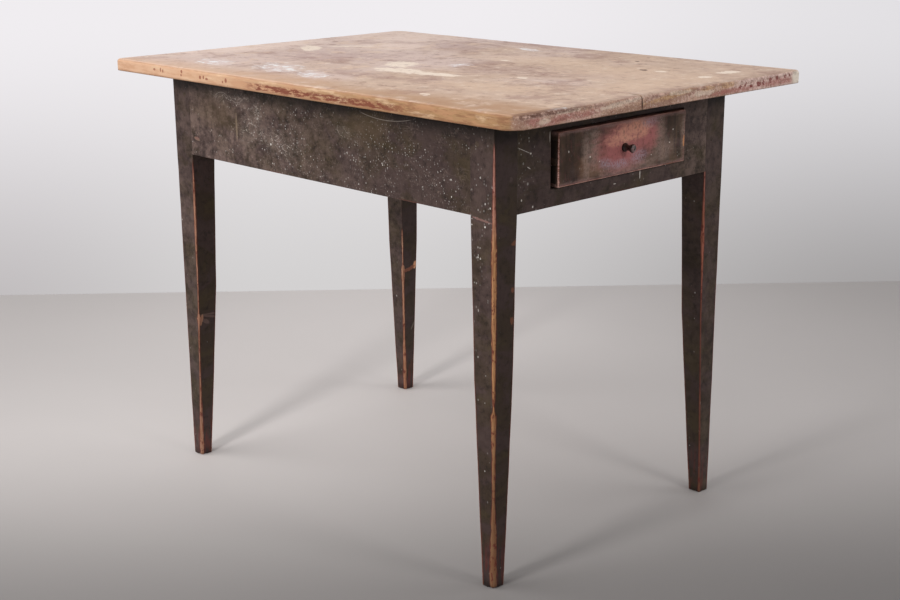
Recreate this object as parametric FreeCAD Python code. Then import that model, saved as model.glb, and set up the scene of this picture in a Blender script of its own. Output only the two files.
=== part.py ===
import FreeCAD, Part
import os

Vector = FreeCAD.Vector

# A small old tavern table with one drawer, in millimetres. +Z is up, the floor is z = 0 and the
# origin is below the middle of the top. The long sides run along X. The drawer opens at the near
# end, towards +X. Left and right are as seen by someone who faces the drawer: left is -Y.

# ---- Driving dimensions -------------------------------------------------------------------------

TABLE_HEIGHT = 750.0
TOP_LENGTH = 980.0
TOP_WIDTH = 685.0
TOP_THICKNESS = 22.0
TOP_JOINTS_Y = (-69.5, 150.0)          # where the three boards of the top meet
WORN_CORNER_RADIUS = 28.0              # left near corner and right far corner, seen from above
TIGHT_CORNER_RADIUS = 4.0              # the other two corners
TOP_UPPER_ARRIS = 6.0
TOP_LOWER_ARRIS = 2.0

FRAME_LENGTH = 800.0                   # over the outer faces of the legs
FRAME_WIDTH = 550.0
FRAME_SHIFT_X = -3.0                   # the top sits a little off the middle of the frame
FRAME_SHIFT_Y = -8.0

APRON_HEIGHT = 144.0
APRON_THICKNESS = 24.0

LEG_WIDTH = 48.0
LEG_MIDDLE_WIDTH = 41.5
LEG_FOOT_WIDTH = 24.0
LEG_MIDDLE_HEIGHT = 330.0
LEG_OUTER_ARRIS = 3.0
LEG_FOOT_ARRIS = 1.5

TENON_LENGTH = 30.0
TENON_THICKNESS = 10.0
TENON_OUTER_SHOULDER = 7.0             # from the outer face of the apron to its tenon
TENON_EDGE_SHOULDER = 12.0             # above and below the tenon
PEG_RADIUS = 4.0
PEG_LENGTH = 36.0
PEG_FROM_LEG_EDGE = 14.0               # from the inner face of the leg to the middle of the peg
SIDE_PEG_HEIGHTS = (622.0, 690.0)      # pegs of the long aprons
END_PEG_HEIGHTS = (638.0, 706.0)       # pegs of the end aprons, staggered so they pass clear

OPENING_LEFT_Y = -163.0                # the drawer's opening in the near apron
OPENING_RIGHT_Y = 155.0
OPENING_BOTTOM_Z = 611.0
OPENING_TOP_Z = 700.0

DRAWER_LEFT_Y = -153.5
DRAWER_RIGHT_Y = 152.0
DRAWER_PROUD = 6.5                     # how far the closed front stands out of the apron
DRAWER_DEPTH = 470.0                   # over the front's outer face and the ends of the sides
DRAWER_FRONT_BOTTOM_Z = 612.5
DRAWER_FRONT_TOP_Z = 696.0
DRAWER_FRONT_THICKNESS = 20.0
DRAWER_FRONT_ARRIS = 1.5
DRAWER_SIDE_THICKNESS = 12.0
DRAWER_SIDE_HEIGHT = 78.0
DRAWER_BACK_INSET = 12.0               # from the ends of the sides to the back
DRAWER_BACK_DROP = 4.0                 # the back stands this much lower than the sides
DRAWER_BACK_HOUSING = 4.0              # how deep the back is let into the sides
DRAWER_BOTTOM_THICKNESS = 7.0
DRAWER_BOTTOM_HOUSING = 5.0
DRAWER_BOTTOM_RISE = 8.0               # from the lower edge of the sides to the bottom board

TAIL_LENGTH = 15.0
TAIL_WIDTH = 28.0
TAIL_SLOPE = 1.0 / 7.0
TAIL_RISES = (6.0, 44.0)               # from the lower edge of the side to each dovetail

KNOB_REACH = 20.0                      # from the drawer's front to the end of the knob
KNOB_SHANK_RADIUS = 4.0
KNOB_OUTLINE = (                       # share of the reach, and the radius there
    (0.0, 7.2), (0.12, 7.0), (0.30, 5.2), (0.50, 4.4), (0.66, 5.6), (0.80, 7.0), (0.92, 6.2),
    (0.985, 3.6), (1.0, 0.0))

RUNNER_WIDTH = 40.0
RUNNER_THICKNESS = 20.0
RUNNER_OVERLAP = 18.0                  # how far the runner reaches in under the drawer's side
RUNNER_GAP = 0.3                       # between the drawer's side and what it slides on
RUNNER_TENON_LENGTH = 8.0
RUNNER_TENON_MARGIN = 5.0
GUIDE_GAP = 1.5                        # play between the drawer's side and its guide
GUIDE_WIDTH = 16.0
GUIDE_HEIGHT = 24.0
STOP_THICKNESS = 12.0
STOP_GAP = 0.3

RAIL_THICKNESS = 22.0
RAIL_BOTTOM_Z = 588.0
RAIL_HEIGHT = 60.0
RAIL_HOUSING = 8.0                     # how deep the rail is let into the long aprons

BATTEN_WIDTH = 60.0
BATTEN_THICKNESS = 22.0
BATTEN_END_GAP = 12.0                  # from the end of a batten to the long apron
BATTENS_X = {"batten_far": -280.0, "batten_middle": -40.0, "batten_near": 260.0}
KICKER_WIDTH = 26.0
KICKER_GAP = 2.7                       # between the drawer's side and the kicker above it

DOWEL_RADIUS = 5.0
DOWEL_LENGTH = 60.0
DOWELS_X = (-400.0, -150.0, 120.0, 400.0)

SCREW_RADIUS = 2.0
SCREW_HEAD_RADIUS = 4.0
SCREW_HEAD_HEIGHT = 2.5
SCREW_SLOT_WIDTH = 1.0
SCREW_SLOT_DEPTH = 1.0
SCREW_BITE = 12.0                      # how deep a screw goes into the piece above it
SCREW_EDGE = 38.0                      # from a board's edge to its screws
BATTEN_SCREW_OFFSET = 12.0             # from the middle of a batten's width to its screws

NAIL_RADIUS = 1.2
NAIL_HEAD_RADIUS = 2.8
NAIL_HEAD_HEIGHT = 1.2
GUIDE_NAIL_SHARES = (0.1, 0.5, 0.9)    # places along a guide
BACK_NAIL_SHARES = (0.25, 0.75)        # places up the height of the drawer's back
BACK_NAIL_LENGTH = 36.0
BOTTOM_NAIL_SHARES = (0.15, 0.5, 0.85)  # places across the drawer's bottom
BOTTOM_NAIL_LENGTH = 21.0

BLOCK_SIZE = 24.0
BLOCK_LENGTH = 70.0
SIDE_BLOCKS_X = (-200.0, 80.0)         # where the glue blocks of the long aprons begin
FAR_BLOCKS_Y = (-150.0, 60.0)          # where those of the far apron begin

NEAR_ENOUGH = 0.1                      # how close to a face a point counts as being on it

# ---- Places worked out from them ----------------------------------------------------------------

TOP_UNDERSIDE_Z = TABLE_HEIGHT - TOP_THICKNESS
APRON_BOTTOM_Z = TOP_UNDERSIDE_Z - APRON_HEIGHT
NEAR_X = FRAME_SHIFT_X + FRAME_LENGTH / 2
FAR_X = FRAME_SHIFT_X - FRAME_LENGTH / 2
LEFT_Y = FRAME_SHIFT_Y - FRAME_WIDTH / 2
RIGHT_Y = FRAME_SHIFT_Y + FRAME_WIDTH / 2
INNER_NEAR_X = NEAR_X - APRON_THICKNESS
INNER_LEFT_Y = LEFT_Y + APRON_THICKNESS
INNER_RIGHT_Y = RIGHT_Y - APRON_THICKNESS
TENON_BOTTOM_Z = APRON_BOTTOM_Z + TENON_EDGE_SHOULDER
TENON_TOP_Z = TOP_UNDERSIDE_Z - TENON_EDGE_SHOULDER

DRAWER_FACE_X = NEAR_X + DRAWER_PROUD
DRAWER_SHOULDER_X = DRAWER_FACE_X - DRAWER_FRONT_THICKNESS
DRAWER_END_X = DRAWER_FACE_X - DRAWER_DEPTH
DRAWER_SIDE_BOTTOM_Z = OPENING_BOTTOM_Z + RUNNER_GAP
DRAWER_SIDE_TOP_Z = DRAWER_SIDE_BOTTOM_Z + DRAWER_SIDE_HEIGHT
DRAWER_INNER_LEFT_Y = DRAWER_LEFT_Y + DRAWER_SIDE_THICKNESS
DRAWER_INNER_RIGHT_Y = DRAWER_RIGHT_Y - DRAWER_SIDE_THICKNESS
DRAWER_BACK_X = DRAWER_END_X + DRAWER_BACK_INSET
DRAWER_BOTTOM_Z = DRAWER_SIDE_BOTTOM_Z + DRAWER_BOTTOM_RISE
DRAWER_FLOOR_Z = DRAWER_BOTTOM_Z + DRAWER_BOTTOM_THICKNESS
DRAWER_MIDDLE_Y = (DRAWER_LEFT_Y + DRAWER_RIGHT_Y) / 2
DRAWER_MIDDLE_Z = (DRAWER_FRONT_BOTTOM_Z + DRAWER_FRONT_TOP_Z) / 2

STOP_FRONT_X = DRAWER_END_X - STOP_GAP
RAIL_FRONT_X = STOP_FRONT_X - STOP_THICKNESS
RAIL_BACK_X = RAIL_FRONT_X - RAIL_THICKNESS
BATTEN_BOTTOM_Z = TOP_UNDERSIDE_Z - BATTEN_THICKNESS
KICKER_BOTTOM_Z = DRAWER_SIDE_TOP_Z + KICKER_GAP
TOP_EDGES_Y = (-TOP_WIDTH / 2, TOP_JOINTS_Y[0], TOP_JOINTS_Y[1], TOP_WIDTH / 2)

# Each leg: its outer corner, and which way the frame's inside lies from there.
LEGS = {
    "leg_left_near": (NEAR_X, LEFT_Y, -1, 1),
    "leg_right_near": (NEAR_X, RIGHT_Y, -1, -1),
    "leg_left_far": (FAR_X, LEFT_Y, 1, 1),
    "leg_right_far": (FAR_X, RIGHT_Y, 1, -1),
}

# Each side of the drawer: its outer face, and which way the drawer's inside lies from there.
DRAWER_SIDES = {"left": (DRAWER_LEFT_Y, 1), "right": (DRAWER_RIGHT_Y, -1)}


# ---- Simple shapes ------------------------------------------------------------------------------

def block(x0, x1, y0, y1, z0, z1):
    """A box between two corners, given in any order."""
    low = Vector(min(x0, x1), min(y0, y1), min(z0, z1))
    return Part.makeBox(abs(x1 - x0), abs(y1 - y0), abs(z1 - z0), low)


def prism(points, along):
    """A flat outline carried along a vector."""
    outline = Part.makePolygon(points + points[:1])
    return Part.Face(outline).extrude(along)


def rod(start, direction, radius, length):
    return Part.makeCylinder(radius, length, start, direction)


def cut_all(shape, tools):
    for tool in tools:
        shape = shape.cut(tool)
    return shape


def edges_at(shape, test):
    """The edges whose two ends both pass a test."""
    return [edge for edge in shape.Edges if all(test(vertex.Point) for vertex in edge.Vertexes)]


def screw_hole(x, y, z_head, length):
    """The countersunk hole that a screw fills. It points up, and opens at z_head."""
    up = Vector(0, 0, 1)
    head = Part.makeCone(SCREW_HEAD_RADIUS, SCREW_RADIUS, SCREW_HEAD_HEIGHT, Vector(x, y, z_head), up)
    return head.fuse(rod(Vector(x, y, z_head), up, SCREW_RADIUS, length))


def screw(x, y, z_head, length):
    """A screw that fills its hole, with a slot across its head."""
    slot = block(x - SCREW_HEAD_RADIUS, x + SCREW_HEAD_RADIUS, y - SCREW_SLOT_WIDTH / 2,
                 y + SCREW_SLOT_WIDTH / 2, z_head, z_head + SCREW_SLOT_DEPTH)
    return screw_hole(x, y, z_head, length).cut(slot)


def nail(start, direction, length):
    """A nail driven along a direction, its head let in flush at the start."""
    shank = rod(start, direction, NAIL_RADIUS, length)
    return shank.fuse(rod(start, direction, NAIL_HEAD_RADIUS, NAIL_HEAD_HEIGHT))


# ---- Fasteners: one list each, used for the fasteners and for their holes -----------------------

def dowel_rods():
    """Dowels that line up the edges of the top's boards."""
    middle_z = TOP_UNDERSIDE_Z + TOP_THICKNESS / 2
    for joint_y in TOP_JOINTS_Y:
        for x in DOWELS_X:
            yield rod(Vector(x, joint_y - DOWEL_LENGTH / 2, middle_z), Vector(0, 1, 0),
                      DOWEL_RADIUS, DOWEL_LENGTH)


def peg_rods():
    """Pegs through the legs and the tenons of the aprons, two to a joint."""
    for corner_x, corner_y, inward_x, inward_y in LEGS.values():
        across = LEG_WIDTH - PEG_FROM_LEG_EDGE
        for z in SIDE_PEG_HEIGHTS:
            start = Vector(corner_x + inward_x * across, corner_y, z)
            yield rod(start, Vector(0, inward_y, 0), PEG_RADIUS, PEG_LENGTH)
        for z in END_PEG_HEIGHTS:
            start = Vector(corner_x, corner_y + inward_y * across, z)
            yield rod(start, Vector(inward_x, 0, 0), PEG_RADIUS, PEG_LENGTH)


def batten_screw_places():
    """Two screws for each board on each batten: x, y, z of the head and length."""
    batten_low = INNER_LEFT_Y + BATTEN_END_GAP
    batten_high = INNER_RIGHT_Y - BATTEN_END_GAP
    for x in BATTENS_X.values():
        for low, high in zip(TOP_EDGES_Y, TOP_EDGES_Y[1:]):
            first = max(low, batten_low) + SCREW_EDGE
            last = min(high, batten_high) - SCREW_EDGE
            yield x - BATTEN_SCREW_OFFSET, first, BATTEN_BOTTOM_Z, BATTEN_THICKNESS + SCREW_BITE
            yield x + BATTEN_SCREW_OFFSET, last, BATTEN_BOTTOM_Z, BATTEN_THICKNESS + SCREW_BITE


def kicker_middle_y(side):
    outer_y, inward = DRAWER_SIDES[side]
    return outer_y + inward * DRAWER_SIDE_THICKNESS / 2


def kicker_screw_places():
    """A screw up through each kicker into each batten that it hangs from."""
    length = BATTEN_BOTTOM_Z - KICKER_BOTTOM_Z + SCREW_BITE
    for side in DRAWER_SIDES:
        for batten in ("batten_middle", "batten_near"):
            yield BATTENS_X[batten], kicker_middle_y(side), KICKER_BOTTOM_Z, length


def runner_nails_of(side):
    """Nails down through a guide and a stop into the runner below them."""
    outer_y, inward = DRAWER_SIDES[side]
    guide_y = outer_y - inward * (GUIDE_GAP + GUIDE_WIDTH / 2)
    stop_x = STOP_FRONT_X - STOP_THICKNESS / 2
    stop_y = outer_y + inward * RUNNER_OVERLAP / 2
    guide_top = OPENING_BOTTOM_Z + GUIDE_HEIGHT
    length = GUIDE_HEIGHT + SCREW_BITE
    guide_length = INNER_NEAR_X - RAIL_FRONT_X
    down = Vector(0, 0, -1)
    for share in GUIDE_NAIL_SHARES:
        yield nail(Vector(RAIL_FRONT_X + share * guide_length, guide_y, guide_top), down, length)
    yield nail(Vector(stop_x, stop_y, guide_top), down, length)


def drawer_nail_solids():
    """Nails that hold the drawer's back between its sides, and its bottom under the back."""
    back_middle_x = DRAWER_BACK_X + DRAWER_SIDE_THICKNESS / 2
    back_low = DRAWER_FLOOR_Z
    back_high = DRAWER_SIDE_TOP_Z - DRAWER_BACK_DROP
    for outer_y, inward in DRAWER_SIDES.values():
        for share in BACK_NAIL_SHARES:
            z = back_low + share * (back_high - back_low)
            yield nail(Vector(back_middle_x, outer_y, z), Vector(0, inward, 0), BACK_NAIL_LENGTH)
    for share in BOTTOM_NAIL_SHARES:
        y = DRAWER_INNER_LEFT_Y + share * (DRAWER_INNER_RIGHT_Y - DRAWER_INNER_LEFT_Y)
        yield nail(Vector(back_middle_x, y, DRAWER_BOTTOM_Z), Vector(0, 0, 1), BOTTOM_NAIL_LENGTH)


# ---- The top ------------------------------------------------------------------------------------

def whole_top():
    """The top as one slab, with its worn corners and arrises."""
    half_length = TOP_LENGTH / 2
    half_width = TOP_WIDTH / 2
    slab = block(-half_length, half_length, -half_width, half_width, TOP_UNDERSIDE_Z, TABLE_HEIGHT)

    def corner(sign_x, sign_y):
        def test(point):
            at_end = point.x * sign_x > half_length - NEAR_ENOUGH
            return at_end and point.y * sign_y > half_width - NEAR_ENOUGH
        return edges_at(slab, test)

    slab = slab.makeFillet(WORN_CORNER_RADIUS, corner(1, -1))
    slab = slab.makeFillet(WORN_CORNER_RADIUS, corner(-1, 1))
    slab = slab.makeFillet(TIGHT_CORNER_RADIUS, corner(1, 1))
    slab = slab.makeFillet(TIGHT_CORNER_RADIUS, corner(-1, -1))
    upper = edges_at(slab, lambda point: point.z > TABLE_HEIGHT - NEAR_ENOUGH)
    slab = slab.makeFillet(TOP_UPPER_ARRIS, upper)
    lower = edges_at(slab, lambda point: point.z < TOP_UNDERSIDE_Z + NEAR_ENOUGH)
    return slab.makeFillet(TOP_LOWER_ARRIS, lower)


def top_boards():
    """The three boards, bored for their dowels and for the screws of the battens."""
    slab = whole_top()
    holes = list(dowel_rods())
    holes += [screw_hole(*place) for place in batten_screw_places()]
    boards = {}
    for name, low, high in zip(("left", "middle", "right"), TOP_EDGES_Y, TOP_EDGES_Y[1:]):
        strip = block(-TOP_LENGTH, TOP_LENGTH, low, high, TOP_UNDERSIDE_Z, TABLE_HEIGHT)
        boards["top_board_" + name] = cut_all(slab.common(strip), holes)
    return boards


def battens():
    """Three battens across the underside of the top, inside the frame."""
    low = INNER_LEFT_Y + BATTEN_END_GAP
    high = INNER_RIGHT_Y - BATTEN_END_GAP
    holes = [screw_hole(*place) for place in batten_screw_places()]
    holes += [screw_hole(*place) for place in kicker_screw_places()]
    made = {}
    for name, x in BATTENS_X.items():
        bar = block(x - BATTEN_WIDTH / 2, x + BATTEN_WIDTH / 2, low, high, BATTEN_BOTTOM_Z, TOP_UNDERSIDE_Z)
        made[name] = cut_all(bar, holes)
    return made


def glue_block(corner, inward, along):
    """A three-cornered block in the angle between an apron and the top."""
    down = Vector(0, 0, -BLOCK_SIZE)
    points = [corner, corner + inward * BLOCK_SIZE, corner + down]
    return prism(points, along * BLOCK_LENGTH)


def glue_blocks():
    """Blocks that hold the top down on the aprons, clear of the battens and the kickers."""
    z = TOP_UNDERSIDE_Z
    blocks = []
    for x in SIDE_BLOCKS_X:
        blocks.append(glue_block(Vector(x, INNER_LEFT_Y, z), Vector(0, 1, 0), Vector(1, 0, 0)))
        blocks.append(glue_block(Vector(x, INNER_RIGHT_Y, z), Vector(0, -1, 0), Vector(1, 0, 0)))
    inner_far_x = FAR_X + APRON_THICKNESS
    for y in FAR_BLOCKS_Y:
        blocks.append(glue_block(Vector(inner_far_x, y, z), Vector(1, 0, 0), Vector(0, 1, 0)))
    middle_y = FRAME_SHIFT_Y - BLOCK_LENGTH / 2
    blocks.append(glue_block(Vector(INNER_NEAR_X, middle_y, z), Vector(-1, 0, 0), Vector(0, 1, 0)))
    return blocks


# ---- The frame ----------------------------------------------------------------------------------

def leg_profile(corner, inward):
    """Outline of a leg seen from one side, as pairs of distance and height."""
    return [
        (corner, 0.0),
        (corner + inward * LEG_FOOT_WIDTH, 0.0),
        (corner + inward * LEG_MIDDLE_WIDTH, LEG_MIDDLE_HEIGHT),
        (corner + inward * LEG_WIDTH, APRON_BOTTOM_Z),
        (corner + inward * LEG_WIDTH, TOP_UNDERSIDE_Z),
        (corner, TOP_UNDERSIDE_Z),
    ]


def leg(corner_x, corner_y, inward_x, inward_y):
    """A square leg that tapers on its two inner faces, in two stages, below the aprons."""
    seen_from_front = [Vector(x, corner_y, z) for x, z in leg_profile(corner_x, inward_x)]
    seen_from_side = [Vector(corner_x, y, z) for y, z in leg_profile(corner_y, inward_y)]
    post = prism(seen_from_front, Vector(0, inward_y * LEG_WIDTH, 0))
    post = post.common(prism(seen_from_side, Vector(inward_x * LEG_WIDTH, 0, 0)))

    def on_outer_arris(point):
        return abs(point.x - corner_x) < NEAR_ENOUGH and abs(point.y - corner_y) < NEAR_ENOUGH

    post = post.makeFillet(LEG_OUTER_ARRIS, edges_at(post, on_outer_arris))
    sole_edges = edges_at(post, lambda point: point.z < NEAR_ENOUGH)
    post = post.makeChamfer(LEG_FOOT_ARRIS, sole_edges)

    depth = TENON_OUTER_SHOULDER
    inner_x = corner_x + inward_x * LEG_WIDTH
    inner_y = corner_y + inward_y * LEG_WIDTH
    side_mortise = block(
        inner_x, inner_x - inward_x * TENON_LENGTH,
        corner_y + inward_y * depth, corner_y + inward_y * (depth + TENON_THICKNESS),
        TENON_BOTTOM_Z, TENON_TOP_Z)
    end_mortise = block(
        corner_x + inward_x * depth, corner_x + inward_x * (depth + TENON_THICKNESS),
        inner_y, inner_y - inward_y * TENON_LENGTH,
        TENON_BOTTOM_Z, TENON_TOP_Z)
    return cut_all(post, [side_mortise, end_mortise] + list(peg_rods()))


def side_apron(outer_y, inward):
    """A long apron with a tenon at each end and a housing for the runner rail."""
    near_shoulder = NEAR_X - LEG_WIDTH
    far_shoulder = FAR_X + LEG_WIDTH
    board = block(far_shoulder, near_shoulder, outer_y, outer_y + inward * APRON_THICKNESS,
                  APRON_BOTTOM_Z, TOP_UNDERSIDE_Z)
    tenon_y = outer_y + inward * TENON_OUTER_SHOULDER
    tenons = block(far_shoulder - TENON_LENGTH, near_shoulder + TENON_LENGTH,
                   tenon_y, tenon_y + inward * TENON_THICKNESS, TENON_BOTTOM_Z, TENON_TOP_Z)
    inner_y = outer_y + inward * APRON_THICKNESS
    housing = block(RAIL_BACK_X, RAIL_FRONT_X, inner_y, inner_y - inward * RAIL_HOUSING,
                    RAIL_BOTTOM_Z, RAIL_BOTTOM_Z + RAIL_HEIGHT)
    return cut_all(board.fuse(tenons), [housing] + list(peg_rods())).removeSplitter()


def end_apron(outer_x, inward):
    """A short apron with a tenon at each end."""
    left_shoulder = LEFT_Y + LEG_WIDTH
    right_shoulder = RIGHT_Y - LEG_WIDTH
    board = block(outer_x, outer_x + inward * APRON_THICKNESS, left_shoulder, right_shoulder,
                  APRON_BOTTOM_Z, TOP_UNDERSIDE_Z)
    tenon_x = outer_x + inward * TENON_OUTER_SHOULDER
    tenons = block(tenon_x, tenon_x + inward * TENON_THICKNESS,
                   left_shoulder - TENON_LENGTH, right_shoulder + TENON_LENGTH,
                   TENON_BOTTOM_Z, TENON_TOP_Z)
    return cut_all(board.fuse(tenons), peg_rods()).removeSplitter()


def near_apron():
    """The apron at the drawer's end: the opening is sawn out of one board."""
    opening = block(NEAR_X, INNER_NEAR_X, OPENING_LEFT_Y, OPENING_RIGHT_Y,
                    OPENING_BOTTOM_Z, OPENING_TOP_Z)
    mortises = [runner_tenon(side, INNER_NEAR_X) for side in DRAWER_SIDES]
    return cut_all(end_apron(NEAR_X, -1), [opening] + mortises)


# ---- What the drawer runs on --------------------------------------------------------------------

def runner_rail():
    """A rail across the frame behind the drawer, which carries the ends of the runners."""
    bar = block(RAIL_BACK_X, RAIL_FRONT_X, INNER_LEFT_Y - RAIL_HOUSING, INNER_RIGHT_Y + RAIL_HOUSING,
                RAIL_BOTTOM_Z, RAIL_BOTTOM_Z + RAIL_HEIGHT)
    return cut_all(bar, [runner_tenon(side, RAIL_FRONT_X) for side in DRAWER_SIDES])


def runner_edges_y(side):
    """The runner's inner and outer long edges."""
    outer_y, inward = DRAWER_SIDES[side]
    inner_edge = outer_y + inward * RUNNER_OVERLAP
    return inner_edge, inner_edge - inward * RUNNER_WIDTH


def runner_tenon(side, face_x):
    """The stub tenon of a runner, on both sides of the face that it enters."""
    edge_a, edge_b = sorted(runner_edges_y(side))
    return block(face_x - RUNNER_TENON_LENGTH, face_x + RUNNER_TENON_LENGTH,
                 edge_a + RUNNER_TENON_MARGIN, edge_b - RUNNER_TENON_MARGIN,
                 OPENING_BOTTOM_Z - RUNNER_THICKNESS + RUNNER_TENON_MARGIN,
                 OPENING_BOTTOM_Z - RUNNER_TENON_MARGIN)


def runner(side):
    """The bar under one side of the drawer, from the near apron to the runner rail."""
    edge_a, edge_b = runner_edges_y(side)
    bar = block(RAIL_FRONT_X, INNER_NEAR_X, edge_a, edge_b,
                OPENING_BOTTOM_Z - RUNNER_THICKNESS, OPENING_BOTTOM_Z)
    bar = bar.fuse(runner_tenon(side, INNER_NEAR_X)).fuse(runner_tenon(side, RAIL_FRONT_X))
    return cut_all(bar.removeSplitter(), runner_nails_of(side))


def guide(side):
    """The strip on a runner that keeps the drawer from moving sideways."""
    outer_y, inward = DRAWER_SIDES[side]
    face_y = outer_y - inward * GUIDE_GAP
    strip = block(RAIL_FRONT_X, INNER_NEAR_X, face_y, face_y - inward * GUIDE_WIDTH,
                  OPENING_BOTTOM_Z, OPENING_BOTTOM_Z + GUIDE_HEIGHT)
    return cut_all(strip, runner_nails_of(side))


def drawer_stops():
    """A block on each runner, in front of the rail, that the closed drawer rests against."""
    stops = []
    for side, (outer_y, inward) in DRAWER_SIDES.items():
        stop = block(RAIL_FRONT_X, STOP_FRONT_X, outer_y, outer_y + inward * RUNNER_OVERLAP,
                     OPENING_BOTTOM_Z, OPENING_BOTTOM_Z + GUIDE_HEIGHT)
        stops.append(cut_all(stop, runner_nails_of(side)))
    return stops


def kicker(side):
    """The strip above one side of the drawer that keeps the open drawer from tipping."""
    middle_y = kicker_middle_y(side)
    strip = block(RAIL_FRONT_X, INNER_NEAR_X, middle_y - KICKER_WIDTH / 2, middle_y + KICKER_WIDTH / 2,
                  KICKER_BOTTOM_Z, BATTEN_BOTTOM_Z)
    return cut_all(strip, [screw_hole(*place) for place in kicker_screw_places()])


# ---- The drawer ---------------------------------------------------------------------------------

def dovetails(outer_y, inward):
    """The tails on the front end of one side of the drawer."""
    tails = []
    spread = TAIL_LENGTH * TAIL_SLOPE
    for rise in TAIL_RISES:
        low = DRAWER_SIDE_BOTTOM_Z + rise
        high = low + TAIL_WIDTH
        end_x = DRAWER_SHOULDER_X + TAIL_LENGTH
        outline = [
            Vector(DRAWER_SHOULDER_X, outer_y, low + spread),
            Vector(end_x, outer_y, low),
            Vector(end_x, outer_y, high),
            Vector(DRAWER_SHOULDER_X, outer_y, high - spread),
        ]
        tails.append(prism(outline, Vector(0, inward * DRAWER_SIDE_THICKNESS, 0)))
    return tails


def bottom_board():
    """The drawer's bottom, which slides into grooves from behind and under the back."""
    low = DRAWER_INNER_LEFT_Y
    high = DRAWER_INNER_RIGHT_Y
    board = block(DRAWER_END_X + DRAWER_BACK_INSET / 2, DRAWER_SHOULDER_X,
                  low - DRAWER_BOTTOM_HOUSING, high + DRAWER_BOTTOM_HOUSING,
                  DRAWER_BOTTOM_Z, DRAWER_FLOOR_Z)
    front_edge = block(DRAWER_SHOULDER_X, DRAWER_SHOULDER_X + DRAWER_BOTTOM_HOUSING, low, high,
                       DRAWER_BOTTOM_Z, DRAWER_FLOOR_Z)
    return board.fuse(front_edge).removeSplitter()


def back_board():
    return block(DRAWER_BACK_X, DRAWER_BACK_X + DRAWER_SIDE_THICKNESS,
                 DRAWER_INNER_LEFT_Y - DRAWER_BACK_HOUSING, DRAWER_INNER_RIGHT_Y + DRAWER_BACK_HOUSING,
                 DRAWER_FLOOR_Z, DRAWER_SIDE_TOP_Z - DRAWER_BACK_DROP)


def drawer_front():
    """The front: sockets for the dovetails, a groove for the bottom and a hole for the knob."""
    front = block(DRAWER_SHOULDER_X, DRAWER_FACE_X, DRAWER_LEFT_Y, DRAWER_RIGHT_Y,
                  DRAWER_FRONT_BOTTOM_Z, DRAWER_FRONT_TOP_Z)
    face_edges = edges_at(front, lambda point: point.x > DRAWER_FACE_X - 0.1)
    front = front.makeFillet(DRAWER_FRONT_ARRIS, face_edges)
    groove = block(DRAWER_SHOULDER_X, DRAWER_SHOULDER_X + DRAWER_BOTTOM_HOUSING,
                   DRAWER_INNER_LEFT_Y, DRAWER_INNER_RIGHT_Y, DRAWER_BOTTOM_Z, DRAWER_FLOOR_Z)
    hole = rod(Vector(DRAWER_SHOULDER_X, DRAWER_MIDDLE_Y, DRAWER_MIDDLE_Z), Vector(1, 0, 0),
               KNOB_SHANK_RADIUS, DRAWER_FRONT_THICKNESS)
    sockets = []
    for outer_y, inward in DRAWER_SIDES.values():
        sockets += dovetails(outer_y, inward)
    return cut_all(front, [groove, hole] + sockets)


def drawer_side(outer_y, inward):
    """A side: dovetails in front, a groove for the bottom and a housing for the back."""
    side = block(DRAWER_END_X, DRAWER_SHOULDER_X, outer_y, outer_y + inward * DRAWER_SIDE_THICKNESS,
                 DRAWER_SIDE_BOTTOM_Z, DRAWER_SIDE_TOP_Z)
    for tail in dovetails(outer_y, inward):
        side = side.fuse(tail)
    inner_y = outer_y + inward * DRAWER_SIDE_THICKNESS
    groove = block(DRAWER_END_X, DRAWER_SHOULDER_X, inner_y, inner_y - inward * DRAWER_BOTTOM_HOUSING,
                   DRAWER_BOTTOM_Z, DRAWER_FLOOR_Z)
    return cut_all(side.removeSplitter(), [groove, back_board()] + list(drawer_nail_solids()))


def drawer_back():
    return cut_all(back_board(), drawer_nail_solids())


def drawer_bottom():
    return cut_all(bottom_board(), drawer_nail_solids())


def drawer_knob():
    """A small turned knob whose shank is glued into the front."""
    points = [Vector(share * KNOB_REACH, radius, 0) for share, radius in KNOB_OUTLINE]
    outline = Part.BSplineCurve()
    outline.interpolate(points)
    straight = Part.makePolygon([
        points[-1],
        Vector(-DRAWER_FRONT_THICKNESS, 0, 0),
        Vector(-DRAWER_FRONT_THICKNESS, KNOB_SHANK_RADIUS, 0),
        Vector(0, KNOB_SHANK_RADIUS, 0),
        points[0],
    ])
    section = Part.Face(Part.Wire([outline.toShape()] + straight.Edges))
    turned = section.revolve(Vector(0, 0, 0), Vector(1, 0, 0), 360)
    turned.translate(Vector(DRAWER_FACE_X, DRAWER_MIDDLE_Y, DRAWER_MIDDLE_Z))
    return turned


# ---- The whole table ----------------------------------------------------------------------------

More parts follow.
